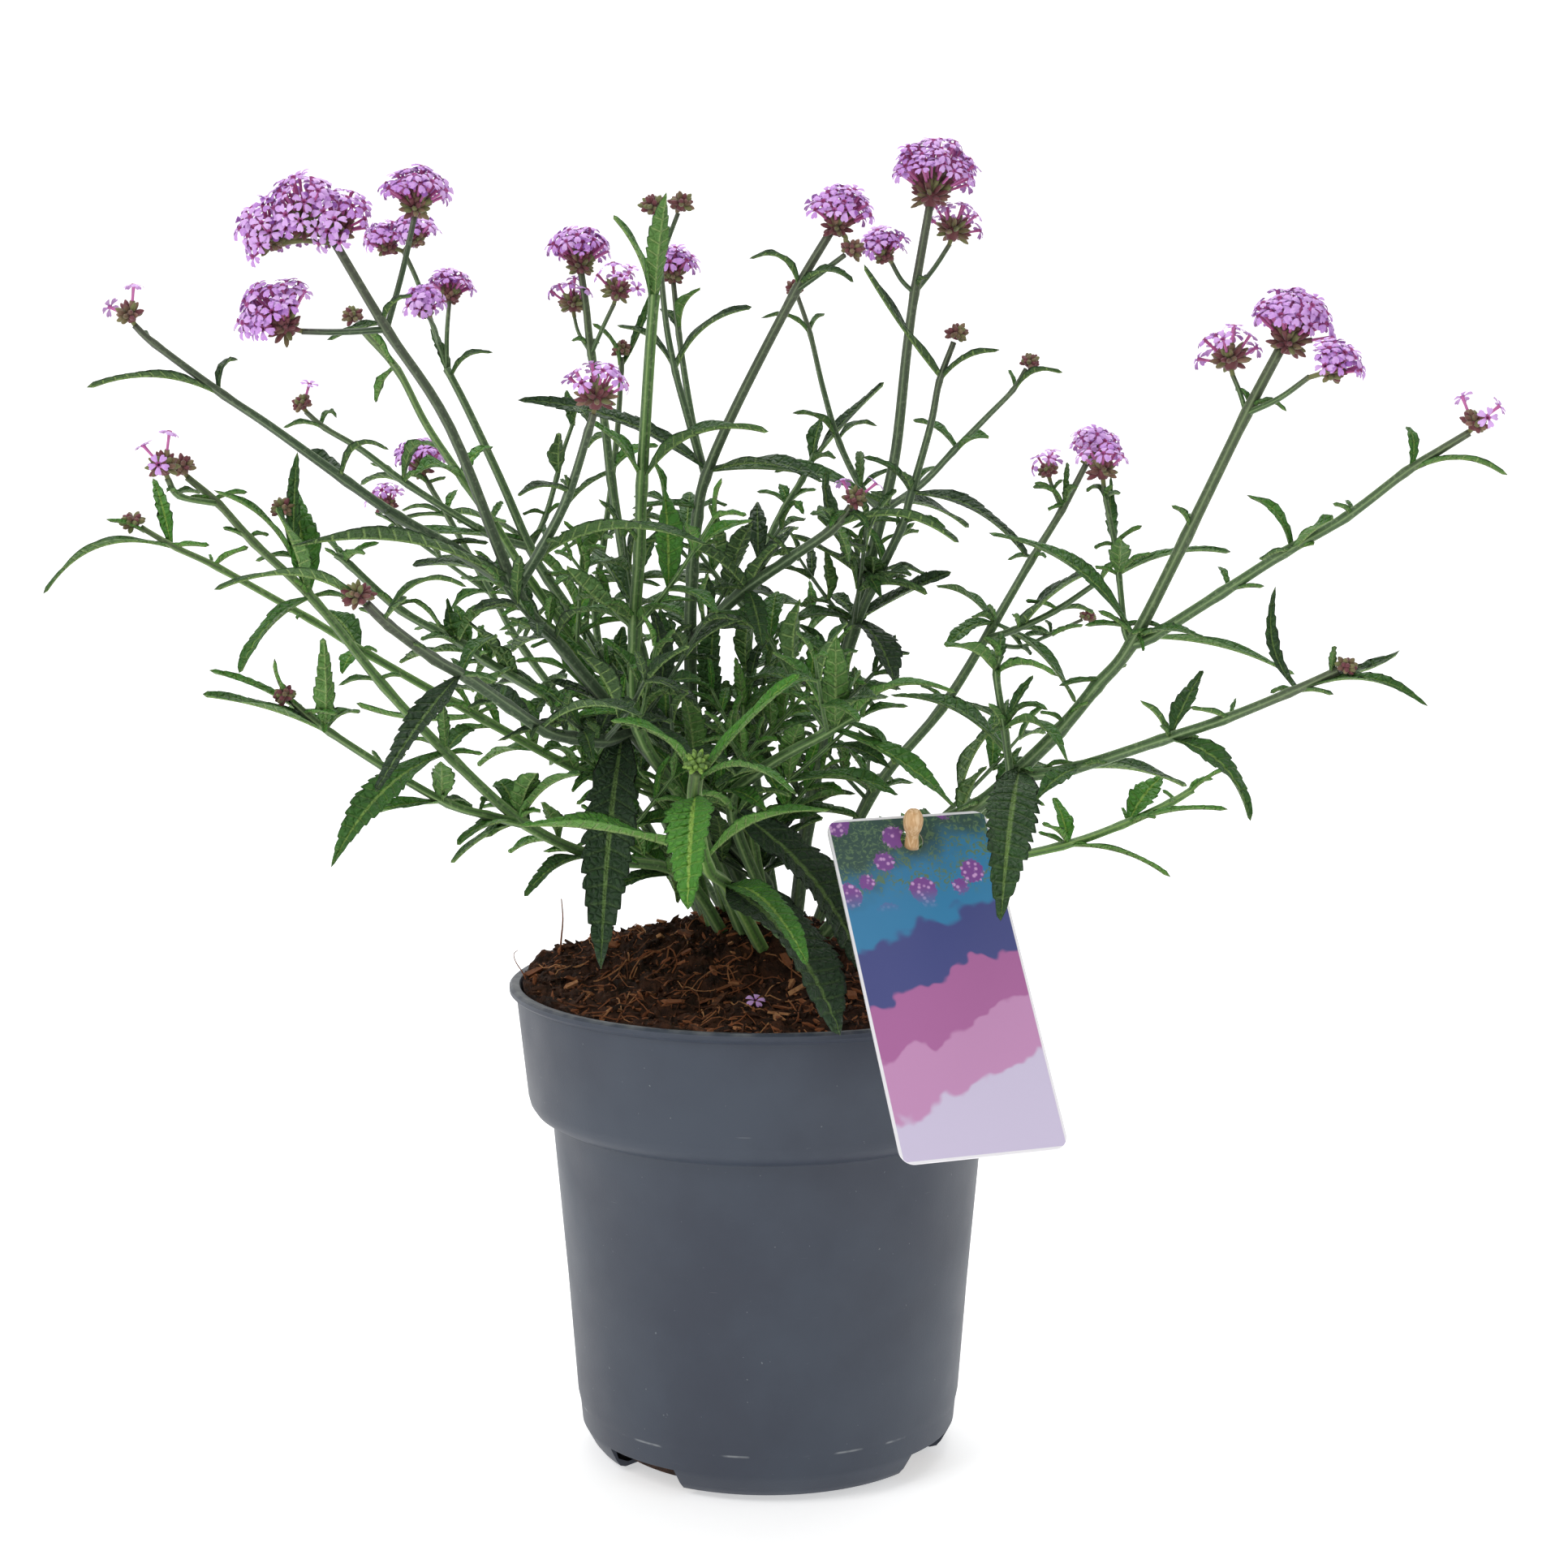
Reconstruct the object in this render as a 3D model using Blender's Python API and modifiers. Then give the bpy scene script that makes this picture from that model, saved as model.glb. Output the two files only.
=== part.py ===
"""Purple verbena in a round nursery pot, with a label hung on a wooden pick.

Metres, +Z up. The origin is the centre of the pot's underside, and the label hangs on the -Y side.
The pot, the soil, the label and the pick are one solid each. Every shoot that rises from the soil is
one solid with its side shoots, leaves and closed buds, and every flower head is one solid of its own.
"""
import math
from collections import namedtuple

import bmesh
import bpy
from mathutils import Matrix, Vector, noise
from mathutils.bvhtree import BVHTree

MM = 0.001
SEAT_GAP = 0.3
WELD_DISTANCE = 0.000002

# The pot, in millimetres: (radius, height) down the outside and along the underside to the middle
POT_SIDES = 28
POT_OUTSIDE = [(95, 175), (95, 172.2), (92.6, 171.6), (88.6, 134), (86.5, 128.5), (79.8, 123),
               (71.3, 21), (69, 8), (66, 3), (61, 0)]
POT_INSIDE = [(61, 1.6), (67.2, 9), (78, 122.5), (84.9, 130), (91.4, 175)]
DRAIN_ANGLES = (-134, -42, 62, 152)
DRAIN_WIDTH = 32
DRAIN_HEIGHT = 9
DRAIN_INNER_RADIUS = 53
DRAIN_OUTER_RADIUS = 75

# The soil, in millimetres
SOIL_SIDES = 22
SOIL_EDGE_HEIGHT = 171.5
SOIL_CROWN_HEIGHT = 198
SOIL_CROWN_SPREAD = 42
SOIL_LUMP = 2.6
SOIL_RINGS = (18, 42, 76)
SOIL_WALL = [(89.8, 169), (83.9, 131.5), (76.9, 123.5), (66, 10), (59, 2.2)]
STEM_HOLE_CLEARANCE = 0.85
STEM_HOLE_DEPTH = 1.2

# The label and its wooden pick, in millimetres
LABEL_WIDTH = 59
LABEL_LENGTH = 126
LABEL_THICKNESS = 0.8
LABEL_CORNER = 5
LABEL_HOLE_RADIUS = 4.1
LABEL_HOLE_INSET = 9.5
LABEL_HOLE_PLACE = (50, -64.6, 236.8)
LABEL_LEAN = 33
LABEL_SWING = -13.2
LABEL_TURN = 21.4
PICK_FOOT = (47.5, -29.6, 160)
PICK_TOP = (50.5, -70, 248)
PICK_SIDES = 10
PICK_PROFILE = [(2.3, 0), (3.4, -3.4), (3.2, -7), (2.2, -10.5)]
PICK_POINT_LENGTH = 9
PICK_HOLE_GIRTH = 5
PICK_HOLE_CLEARANCE = 1.6
PICK_HOLE_TOP = 40

# Leaf blades and stalks, in millimetres
STALK_CORNER = 1.12
BLADE_HALF_THICKNESS = 0.5
BLADE_FOLD = 0.3
BLADE_WAVE = 0.09
FLORET_TUBE = 0.9
BLADE_ROOT_WIDTH = 0.9
BLADE_ROOT_DEPTH = 0.2
BLADE_ROLL = 16
BLADE_CLEARANCE = 0.7
WIDE_BLADE = 11
LONG_BLADE = 34
MIDDLE_BLADE = 22

Stem = namedtuple("Stem", "plant girth path leaves head")
Leaf = namedtuple("Leaf", "knot reach width arch")
Head = namedtuple("Head", "kind florets size lean", defaults=((0, 0),))

# Each stem: the shoot it belongs to, its thickness at foot and tip, its route, its leaves and its
# head. A leaf gives the knot of the route that it grows from, where its tip lies from there, its
# width and how high it arches. A head leans from its seat by the given x and y. All in millimetres.
SOIL_FOOT_HEIGHT = 186
STEMS = [
    Stem("left_tall", (5.6, 3.0), [
        (-4, -4, 184), (-1, -9, 212), (-33, -20, 250), (-48, -28, 270), (-72, -38, 301),
        (-87, -46, 322), (-108, -56, 378), (-128, -64, 411), (-144, -72, 440)],
        [Leaf(3, (-6, -46, -79), 20, 9), Leaf(3, (-41, -36, -2), 6, 4),
         Leaf(5, (69, -42, 14), 10, 12), Leaf(5, (-68, -46, 14), 12, 8),
         Leaf(5, (-36, 16, 4), 11, 3)],
        Head("triple", 12, 24, (-9, 0))),
    Stem("left_tall", (2.0, 1.8), [
        (-128, -64, 411), (-142, -72, 410), (-154, -80, 410)],
        [],
        Head("full", 6, 14, (-4, 0))),
    Stem("left_tall", (2.0, 1.8), [
        (-128, -64, 411), (-123, -58, 431), (-119, -54, 450)],
        [],
        Head("full", 5, 12)),
    Stem("left_tall", (4.0, 2.0), [
        (-87, -46, 322), (-108, -54, 337), (-126, -60, 348), (-142, -66, 360), (-167, -72, 379),
        (-181, -76, 389), (-203, -80, 406), (-209, -82, 412)],
        [Leaf(3, (19, -18, 9), 4, 7), Leaf(5, (-40, -14, 1), 6, 5)],
        Head("bud", 2, 5.0)),
    Stem("left_tall", (3.4, 2.4), [
        (-87, -46, 322), (-77, -60, 337), (-67, -72, 355), (-59, -84, 377), (-57, -86, 383)],
        [Leaf(2, (-15, -24, -1), 5, 3)],
        Head("cup", 4, 7.5)),
    Stem("left_tall", (4.2, 3.0), [
        (-48, -28, 270), (-57, -44, 269), (-67, -60, 272), (-75, -74, 276), (-86, -90, 286),
        (-98, -104, 297), (-108, -112, 304), (-121, -124, 316), (-127, -130, 323)],
        [Leaf(3, (36, -30, 7), 9, 6), Leaf(3, (-32, 16, 12), 12, 4),
         Leaf(5, (-22, -42, -33), 10, 2), Leaf(7, (-48, -26, 11), 7, 10), Leaf(7, (25, 16, 9), 4, 8)],
        Head("buds", 0, 5.5)),
    Stem("left_back", (4.2, 2.6), [
        (-8, 11, 184), (-38, 26, 251), (-59, 34, 286), (-83, 42, 320), (-90, 44, 332),
        (-101, 48, 357), (-114, 54, 384), (-122, 58, 399)],
        [Leaf(4, (-50, -14, 3), 8, 2), Leaf(4, (-30, 16, 10), 7, 3)],
        None),
    Stem("left_back", (1.9, 1.7), [
        (-122, 58, 399), (-126, 60, 411), (-133, 64, 431), (-139, 66, 444)],
        [],
        Head("double", 8, 15)),
    Stem("left_back", (1.7, 1.6), [
        (-122, 58, 399), (-122, 60, 412), (-122, 70, 425)],
        [],
        Head("full", 5, 9)),
    Stem("left_back", (1.6, 1.5), [
        (-125, 60, 408), (-125, 48, 414), (-127, 38, 419)],
        [],
        Head("full", 4, 8)),
    Stem("left_back", (2.8, 1.7), [
        (-90, 44, 332), (-106, 38, 338), (-134, 32, 356), (-151, 30, 369), (-164, 28, 377),
        (-171, 28, 383)],
        [Leaf(2, (16, -18, 12), 6, 8)],
        Head("bud", 1, 4.2)),
    Stem("left_back", (2.2, 1.4), [
        (-90, 44, 332), (-85, 54, 343), (-81, 62, 358), (-79, 66, 367), (-75, 70, 379)],
        [],
        None),
    Stem("left_slim", (3.4, 2.2), [
        (-11, 3, 184), (-35, 10, 257), (-70, 8, 299), (-85, -2, 321), (-98, -4, 342),
        (-109, -4, 358), (-123, 2, 378), (-134, 8, 398), (-146, 14, 411), (-149, 15, 415)],
        [],
        Head("buds", 0, 4.2)),
    Stem("left_low", (4.6, 2.4), [
        (-11, -8, 184), (-31, -24, 218), (-59, -36, 226), (-84, -50, 240), (-108, -64, 265),
        (-130, -72, 291), (-152, -76, 320), (-172, -78, 340), (-183, -80, 353), (-193, -82, 362)],
        [Leaf(2, (-21, -28, -10), 9, 4), Leaf(3, (-19, -20, -6), 9, 3),
         Leaf(3, (-24, 4, -16), 7, 2), Leaf(3, (23, -26, 19), 9, 4),
         Leaf(4, (-34, -36, -34), 13, 7), Leaf(4, (7, 24, 5), 8, 2), Leaf(6, (-8, 16, 37), 12, 3),
         Leaf(6, (-7, -18, 28), 11, 2), Leaf(6, (-20, -20, -24), 10, 4)],
        Head("bud", 0, 4.8)),
    Stem("left_low", (2.0, 1.8), [
        (-183, -80, 353), (-194, -90, 356), (-197, -94, 362)],
        [Leaf(1, (11, -26, 28), 5, 2)],
        Head("bud", 3, 6.0)),
    Stem("left_low", (1.8, 1.6), [
        (-152, -76, 320), (-159, -74, 334), (-162, -74, 348)],
        [Leaf(1, (-24, -12, 22), 5, 4), Leaf(1, (2, 4, 34), 6, 1)],
        Head("buds", 0, 4.2)),
    Stem("left_low", (3.2, 2.0), [
        (-84, -50, 240), (-97, -60, 245), (-109, -68, 250), (-128, -78, 263), (-146, -88, 277),
        (-153, -90, 283), (-158, -92, 288)],
        [Leaf(2, (-32, -16, -6), 7, 2), Leaf(4, (2, -12, 31), 8, -4),
         Leaf(4, (-37, -16, 13), 8, 2), Leaf(5, (-32, 6, 13), 4, 2)],
        Head("buds", 0, 4.0)),
    Stem("left_arm", (4.0, 2.0), [
        (-17, -3, 184), (-36, -14, 243), (-65, -26, 255), (-100, -38, 276), (-139, -48, 300),
        (-158, -50, 312), (-189, -52, 330), (-203, -54, 337), (-215, -54, 344)],
        [Leaf(3, (-44, 18, 2), 6, -3), Leaf(3, (14, -16, 18), 7, 3), Leaf(4, (-14, 18, 12), 10, 2),
         Leaf(7, (-41, -12, -16), 7, 9), Leaf(7, (-8, 12, 22), 6, 2)],
        Head("buds", 0, 4.4)),
    Stem("left_mid", (3.6, 2.6), [
        (-18, 6, 184), (-47, 14, 249), (-80, 18, 276), (-105, 22, 291), (-113, 22, 297),
        (-136, 20, 310), (-154, 16, 327), (-159, 15, 331)],
        [Leaf(2, (10, -26, 10), 9, 3), Leaf(2, (13, 12, -27), 18, 4), Leaf(4, (18, -16, 16), 8, 3)],
        None),
    Stem("front_tall", (4.4, 3.4), [
        (-5, -12, 184), (-26, -32, 239), (-45, -44, 273), (-46, -46, 308), (-44, -48, 335),
        (-43, -50, 358), (-40, -54, 400), (-38, -56, 423)],
        [Leaf(3, (-22, -14, 19), 12, -2), Leaf(5, (-16, -8, 18), 9, 2),
         Leaf(5, (43, -20, 15), 12, 8), Leaf(7, (-13, -4, 29), 8, 3), Leaf(7, (5, -12, 36), 9, 1)],
        None),
    Stem("centre", (5.0, 2.6), [
        (2, 3, 184), (-21, 0, 238), (-27, 0, 263), (-28, -4, 301), (-27, -8, 326), (-25, -11, 346),
        (-22, -14, 360), (-11, -20, 385), (10, -28, 425), (22, -32, 445)],
        [Leaf(3, (54, -24, -11), 12, 7), Leaf(3, (-12, 25, 6), 9, 3),
         Leaf(6, (40, -20, -4), 10, 5), Leaf(6, (65, 22, -14), 11, 6),
         Leaf(6, (-70, 28, 24), 9, 6), Leaf(8, (18, -18, 0), 6, 5)],
        Head("full", 7, 12, (2, 0))),
    Stem("centre", (1.8, 1.6), [
        (10, -28, 425), (20, -34, 432), (27, -38, 437)],
        [],
        Head("buds", 0, 4.4)),
    Stem("centre", (2.8, 1.8), [
        (-22, -14, 360), (-26, -4, 375), (-29, 2, 391), (-32, 6, 411), (-34, 8, 430)],
        [],
        Head("full", 5, 9)),
    Stem("centre", (2.6, 1.6), [
        (-24, -12, 366), (-29, -22, 385), (-32, -28, 397), (-35, -30, 413), (-37, -30, 433),
        (-39, -30, 450)],
        [Leaf(2, (27, -8, 20), 7, 5), Leaf(2, (-20, 4, 14), 4, 4)],
        Head("buds", 0, 5.0)),
    Stem("centre", (1.5, 1.5), [
        (-37, -30, 435), (-34, -26, 444), (-31, -24, 452)],
        [],
        Head("buds", 0, 4.6)),
    Stem("centre", (3.8, 2.6), [
        (-28, -4, 301), (-9, -30, 320), (7, -42, 332), (22, -54, 343), (29, -60, 351)],
        [Leaf(1, (-24, -22, 17), 9, 3), Leaf(1, (16, 8, 21), 9, 1), Leaf(1, (10, -16, 16), 8, 2),
         Leaf(1, (5, -16, -19), 8, 2), Leaf(3, (41, -20, 0), 9, 7)],
        Head("bud", 2, 4.6)),
    Stem("right_tall", (5.0, 2.8), [
        (9, 10, 184), (15, 20, 232), (23, 26, 271), (32, 30, 302), (38, 33, 327), (43, 36, 346),
        (48, 40, 369), (52, 46, 405), (55, 50, 427), (61, 55, 461)],
        [Leaf(3, (34, -14, 18), 11, 1), Leaf(3, (-31, 10, -9), 10, 6),
         Leaf(3, (14, -26, -24), 15, 5), Leaf(5, (33, 30, -11), 8, 4)],
        Head("full", 10, 18)),
    Stem("right_tall", (1.6, 1.5), [
        (55, 50, 427), (50, 50, 432), (46, 50, 439)],
        [],
        Head("full", 5, 9, (-2, -3))),
    Stem("right_tall", (1.7, 1.6), [
        (55, 50, 427), (63, 60, 437), (69, 66, 446)],
        [],
        Head("cup", 4, 7.5)),
    Stem("right_tall", (3.2, 1.9), [
        (32, 30, 302), (38, 20, 317), (49, 12, 341), (52, 9, 352), (59, 4, 378), (62, 2, 394),
        (67, 0, 408)],
        [Leaf(1, (-30, -16, 19), 8, 2), Leaf(3, (41, -13, -23), 10, 6),
         Leaf(5, (-28, -8, 39), 8, -1)],
        Head("buds", 0, 4.2)),
    Stem("right_tall", (2.6, 1.5), [
        (43, 36, 346), (58, 44, 356), (70, 50, 368), (83, 54, 381), (93, 58, 391), (98, 60, 399)],
        [],
        Head("buds", 0, 3.8)),
    Stem("right_tall", (2.8, 1.7), [
        (43, 36, 346), (36, 44, 353), (27, 52, 371), (21, 58, 391), (16, 62, 412), (11, 66, 427)],
        [],
        Head("buds", 0, 3.8)),
    Stem("right_back", (4.0, 2.2), [
        (15, 17, 184), (38, 40, 236), (67, 62, 269), (87, 76, 299), (103, 90, 324), (116, 98, 344),
        (126, 104, 362)],
        [Leaf(2, (24, -12, -9), 7, 3), Leaf(3, (-22, 14, 13), 7, 4), Leaf(3, (30, -16, -30), 9, 5),
         Leaf(3, (-20, -20, -8), 9, 3)],
        Head("full", 6, 11, (2, 0))),
    Stem("right_back", (1.4, 1.3), [
        (116, 98, 344), (113, 98, 351), (111, 98, 356)],
        [],
        Head("cup", 2, 4.5)),
    Stem("right_back", (2.6, 1.8), [
        (85, 74, 295), (95, 66, 299), (110, 58, 307), (127, 48, 320)],
        [Leaf(1, (26, -26, 24), 13, 3)],
        None),
    Stem("right_back", (1.8, 1.5), [
        (85, 75, 294), (98, 82, 291), (110, 88, 295), (124, 92, 301)],
        [],
        Head("buds", 0, 3.4)),
    Stem("right_arm", (5.2, 3.0), [
        (13, -6, 184), (51, -26, 230), (73, -42, 245), (85, -52, 257), (101, -58, 274),
        (113, -64, 290), (124, -70, 305), (141, -78, 342), (159, -86, 383), (169, -90, 404)],
        [Leaf(3, (-11, -66, -41), 19, 9), Leaf(3, (-44, 16, 24), 11, 8),
         Leaf(6, (-48, 26, 33), 9, 8), Leaf(6, (55, 8, -14), 7, 4), Leaf(6, (19, -26, 1), 5, 3)],
        Head("full", 9, 15, (2, 0))),
    Stem("right_arm", (1.5, 1.4), [
        (159, -86, 383), (157, -84, 390), (155, -80, 396)],
        [],
        Head("cup", 4, 7.0)),
    Stem("right_arm", (1.8, 1.6), [
        (159, -86, 383), (168, -96, 388), (176, -106, 395)],
        [],
        Head("full", 5, 9, (6, -3))),
    Stem("right_arm", (3.6, 2.2), [
        (124, -70, 305), (131, -72, 308), (153, -78, 323), (173, -84, 337), (192, -90, 349),
        (210, -96, 364), (220, -100, 371), (229, -103, 377)],
        [Leaf(5, (28, -12, -2), 4, 5)],
        Head("bud", 3, 5.0)),
    Stem("right_arm", (2.2, 1.5), [
        (124, -70, 305), (122, -68, 310), (121, -58, 327), (120, -54, 337), (117, -50, 353),
        (116, -50, 359)],
        [Leaf(2, (41, 18, 6), 5, 4), Leaf(3, (0, 10, 24), 5, -6)],
        Head("cup", 3, 6.0)),
    Stem("right_arm", (2.6, 2.0), [
        (85, -52, 257), (82, -64, 274), (78, -74, 295), (79, -78, 302)],
        [Leaf(1, (19, -28, -8), 8, 8), Leaf(2, (-19, -18, 10), 9, 3)],
        None),
    Stem("right_arm", (3.8, 2.4), [
        (85, -52, 257), (105, -66, 262), (133, -84, 274), (152, -94, 282), (172, -104, 292),
        (187, -110, 300)],
        [Leaf(1, (37, 8, -8), 9, 3), Leaf(2, (12, 10, 21), 8, 1), Leaf(2, (25, -14, -26), 11, 7),
         Leaf(4, (-6, 8, 33), 5, -8), Leaf(4, (40, -14, -4), 6, 7), Leaf(5, (23, 6, 7), 6, -2)],
        Head("buds", 0, 3.8)),
    Stem("right_low", (3.4, 2.4), [
        (19, 5, 184), (53, 22, 210), (78, 36, 212), (113, 50, 217), (137, 58, 224), (156, 62, 232),
        (165, 64, 237)],
        [Leaf(3, (40, 6, -14), 5, 4), Leaf(4, (15, 14, 16), 11, 2), Leaf(4, (37, -8, 6), 5, 3)],
        None),
    Stem("front", (5.0, 4.2), [
        (1, -19, 184), (-13, -44, 216), (-21, -64, 228), (-24, -86, 253), (-23, -96, 265)],
        [Leaf(1, (28, -72, -14), 14, 8), Leaf(2, (-59, -46, 18), 18, 4),
         Leaf(2, (42, -20, 19), 9, 6), Leaf(3, (-1, -50, -30), 18, 8), Leaf(3, (12, 20, -9), 6, 3),
         Leaf(4, (-26, -16, 26), 7, 6), Leaf(4, (34, -22, 37), 10, 2), Leaf(4, (33, -38, 0), 6, 8)],
        Head("buds", 0, 5.0)),
    Stem("front_right", (4.0, 3.0), [
        (10, -15, 184), (-12, -34, 240), (-4, -42, 257), (21, -52, 273), (30, -56, 279)],
        [Leaf(3, (0, -14, 34), 11, -8), Leaf(3, (41, -10, -26), 12, 3), Leaf(4, (36, -24, 12), 8, 8)],
        None),
    Stem("centre_low", (3.6, 2.6), [
        (4, -9, 184), (-5, -18, 228), (-9, -20, 260), (-8, -22, 279)],
        [Leaf(1, (38, -2, 7), 14, 6), Leaf(1, (-22, -26, 13), 8, 3), Leaf(2, (15, -20, -17), 8, 3),
         Leaf(3, (-3, -14, 21), 5, 1)],
        None),
    Stem("back_slim", (3.4, 2.4), [
        (5, 22, 184), (-7, 56, 261), (-7, 72, 304), (0, 82, 332), (6, 86, 345), (13, 90, 356),
        (18, 92, 366)],
        [Leaf(2, (-21, 18, 3), 9, 4), Leaf(2, (24, 12, -1), 9, 3), Leaf(6, (28, 0, 30), 8, 1)],
        None),
    Stem("back_left", (4.2, 2.6), [
        (-3, 18, 184), (-35, 46, 253), (-49, 58, 292), (-54, 66, 315), (-61, 76, 357),
        (-64, 82, 380), (-69, 87, 405), (-71, 89, 423), (-73, 90, 437)],
        [Leaf(3, (30, 4, -5), 9, 4), Leaf(3, (-20, 14, -8), 9, 3), Leaf(4, (-19, 16, -15), 6, 2)],
        Head("full", 6, 13)),
    Stem("back_left", (1.4, 1.3), [
        (-69, 87, 405), (-74, 90, 413), (-76, 92, 420)],
        [],
        Head("cup", 3, 6.0)),
    Stem("back_left", (1.6, 1.5), [
        (-69, 87, 405), (-64, 80, 415), (-59, 72, 424)],
        [],
        Head("cup", 3, 6.5)),
    Stem("back_bud", (3.2, 1.9), [
        (-10, 26, 184), (-54, 84, 248), (-69, 100, 298), (-66, 106, 330), (-61, 112, 370),
        (-59, 116, 399), (-59, 117, 404)],
        [Leaf(5, (11, 6, 28), 5, -2)],
        Head("buds", 0, 4.2)),
    Stem("back_far_left", (3.4, 1.8), [
        (-18, 16, 184), (-59, 66, 241), (-97, 92, 289), (-110, 100, 310), (-128, 110, 340),
        (-136, 114, 353), (-139, 116, 358)],
        [Leaf(2, (-20, 14, -17), 8, 4), Leaf(2, (17, 4, 19), 7, 3), Leaf(3, (9, 20, 16), 6, 3),
         Leaf(4, (-24, 2, -6), 3, 3)],
        Head("full", 5, 11)),
    Stem("back_far_left", (1.6, 1.3), [
        (-110, 100, 310), (-130, 104, 324), (-145, 106, 335), (-151, 106, 342)],
        [],
        Head("cup", 3, 5.0)),
]


def vector(point):
    """A point in millimetres as a vector in metres."""
    return Vector(point) * MM


def clear_scene():
    for thing in list(bpy.data.objects):
        bpy.data.objects.remove(thing, do_unlink=True)


def make_collection(name):
    collection = bpy.data.collections.new(name)
    bpy.context.scene.collection.children.link(collection)
    return collection


def make_material(name, colour, roughness):
    material = bpy.data.materials.new(name)
    material.use_nodes = True
    shader = material.node_tree.nodes["Principled BSDF"]
    shader.inputs["Base Color"].default_value = (*colour, 1)
    shader.inputs["Roughness"].default_value = roughness
    shader.inputs["Metallic"].default_value = 0
    return material


def add_object(name, mesh, collection):
    piece = bpy.data.objects.new(name, mesh)
    collection.objects.link(piece)
    return piece


def evaluated_mesh(piece):
    """The object's mesh as the viewport shows it, in its place."""
    graph = bpy.context.evaluated_depsgraph_get()
    mesh = bpy.data.meshes.new_from_object(piece.evaluated_get(graph))
    mesh.transform(piece.matrix_world)
    return mesh


def make_mesh(curve_object, collection):
    """Replaces a curve by the mesh that it shows, with its loose caps welded."""
    bpy.context.view_layer.update()
    name = curve_object.name
    mesh = evaluated_mesh(curve_object)
    form = bmesh.new()
    form.from_mesh(mesh)
    bmesh.ops.remove_doubles(form, verts=form.verts, dist=WELD_DISTANCE)
    form.to_mesh(mesh)
    form.free()
    bpy.data.objects.remove(curve_object, do_unlink=True)
    return add_object(name, mesh, collection)


def main_body(mesh):
    """Keeps the largest connected body of a mesh: a sealed hollow is filled, a scrap is dropped."""
    form = bmesh.new()
    form.from_mesh(mesh)
    left = set(form.verts)
    bodies = []
    while left:
        body = {left.pop()}
        edge = list(body)
        while edge:
            vert = edge.pop()
            for link in vert.link_edges:
                other = link.other_vert(vert)
                if other not in body:
                    body.add(other)
                    edge.append(other)
        left -= body
        bodies.append(body)
    bodies.sort(key=len)
    for body in bodies[:-1]:
        bmesh.ops.delete(form, geom=list(body), context="VERTS")
    form.to_mesh(mesh)
    form.free()


def fuse(pieces, collection, solver="MANIFOLD"):
    """Joins closed pieces in one solid with one union, and leaves it in the collection."""
    body = pieces[0]
    if len(pieces) > 1:
        group = make_collection(body.name + "_pieces")
        for piece in pieces[1:]:
            collection.objects.unlink(piece)
            group.objects.link(piece)
        union = body.modifiers.new("union", "BOOLEAN")
        union.operation = "UNION"
        union.operand_type = "COLLECTION"
        union.collection = group
        union.solver = solver
        bpy.context.view_layer.update()
        body.data = evaluated_mesh(body)
        body.modifiers.clear()
        for piece in list(group.objects):
            bpy.data.objects.remove(piece, do_unlink=True)
        bpy.data.collections.remove(group)
    main_body(body.data)
    return body


def hide_cutter(piece):
    piece.hide_render = True
    piece.display_type = "WIRE"


def cut(body, cutters, solver="EXACT"):
    """Cuts every cutter in the collection out of the body, as one modifier."""
    groove = body.modifiers.new("cut", "BOOLEAN")
    groove.operation = "DIFFERENCE"
    groove.operand_type = "COLLECTION"
    groove.collection = cutters
    groove.solver = solver


def turned(name, profile, sides, collection):
    """A solid or shell turned about the Z axis from its profile, by a Screw modifier."""
    mesh = bpy.data.meshes.new(name)
    points = [(radius * MM, 0, height * MM) for radius, height in profile]
    edges = [(i, i + 1) for i in range(len(points) - 1)]
    mesh.from_pydata(points, edges, [])
    piece = add_object(name, mesh, collection)
    screw = piece.modifiers.new("turn", "SCREW")
    screw.steps = sides
    screw.render_steps = sides
    screw.use_merge_vertices = True
    screw.merge_threshold = 0.00005
    return piece


def make_pot(collection, cutters):
    """A thin moulded shell: a flared collar with a lip, a foot ring with four drain slots."""
    profile = POT_OUTSIDE + [(0, 0), (0, POT_INSIDE[0][1])] + POT_INSIDE
    profile.append(POT_OUTSIDE[0])
    pot = turned("pot", profile, POT_SIDES, collection)
    for angle in DRAIN_ANGLES:
        bpy.ops.mesh.primitive_cube_add(size=1)
        slot = bpy.context.object
        slot.name = "drain_slot_cutter"
        reach = DRAIN_OUTER_RADIUS - DRAIN_INNER_RADIUS
        middle = DRAIN_INNER_RADIUS + reach / 2
        slot.scale = (DRAIN_WIDTH * MM, reach * MM, 2 * DRAIN_HEIGHT * MM)
        turn = Matrix.Rotation(math.radians(angle), 4, "Z")
        slot.location = turn @ vector((0, -middle, 0))
        slot.rotation_euler = (0, 0, math.radians(angle))
        for holder in list(slot.users_collection):
            holder.objects.unlink(slot)
        cutters.objects.link(slot)
        hide_cutter(slot)
    cut(pot, cutters)
    return pot


def soil_height(x, y):
    """The top of the soil at a place, in millimetres: a low mound with lumps."""
    radius = math.hypot(x, y)
    mound = (SOIL_CROWN_HEIGHT - SOIL_EDGE_HEIGHT) * math.exp(-(radius / SOIL_CROWN_SPREAD) ** 2)
    lumps = SOIL_LUMP * noise.noise(Vector((x * 0.07, y * 0.07, 3.1)))
    return SOIL_EDGE_HEIGHT + mound + lumps


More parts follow.
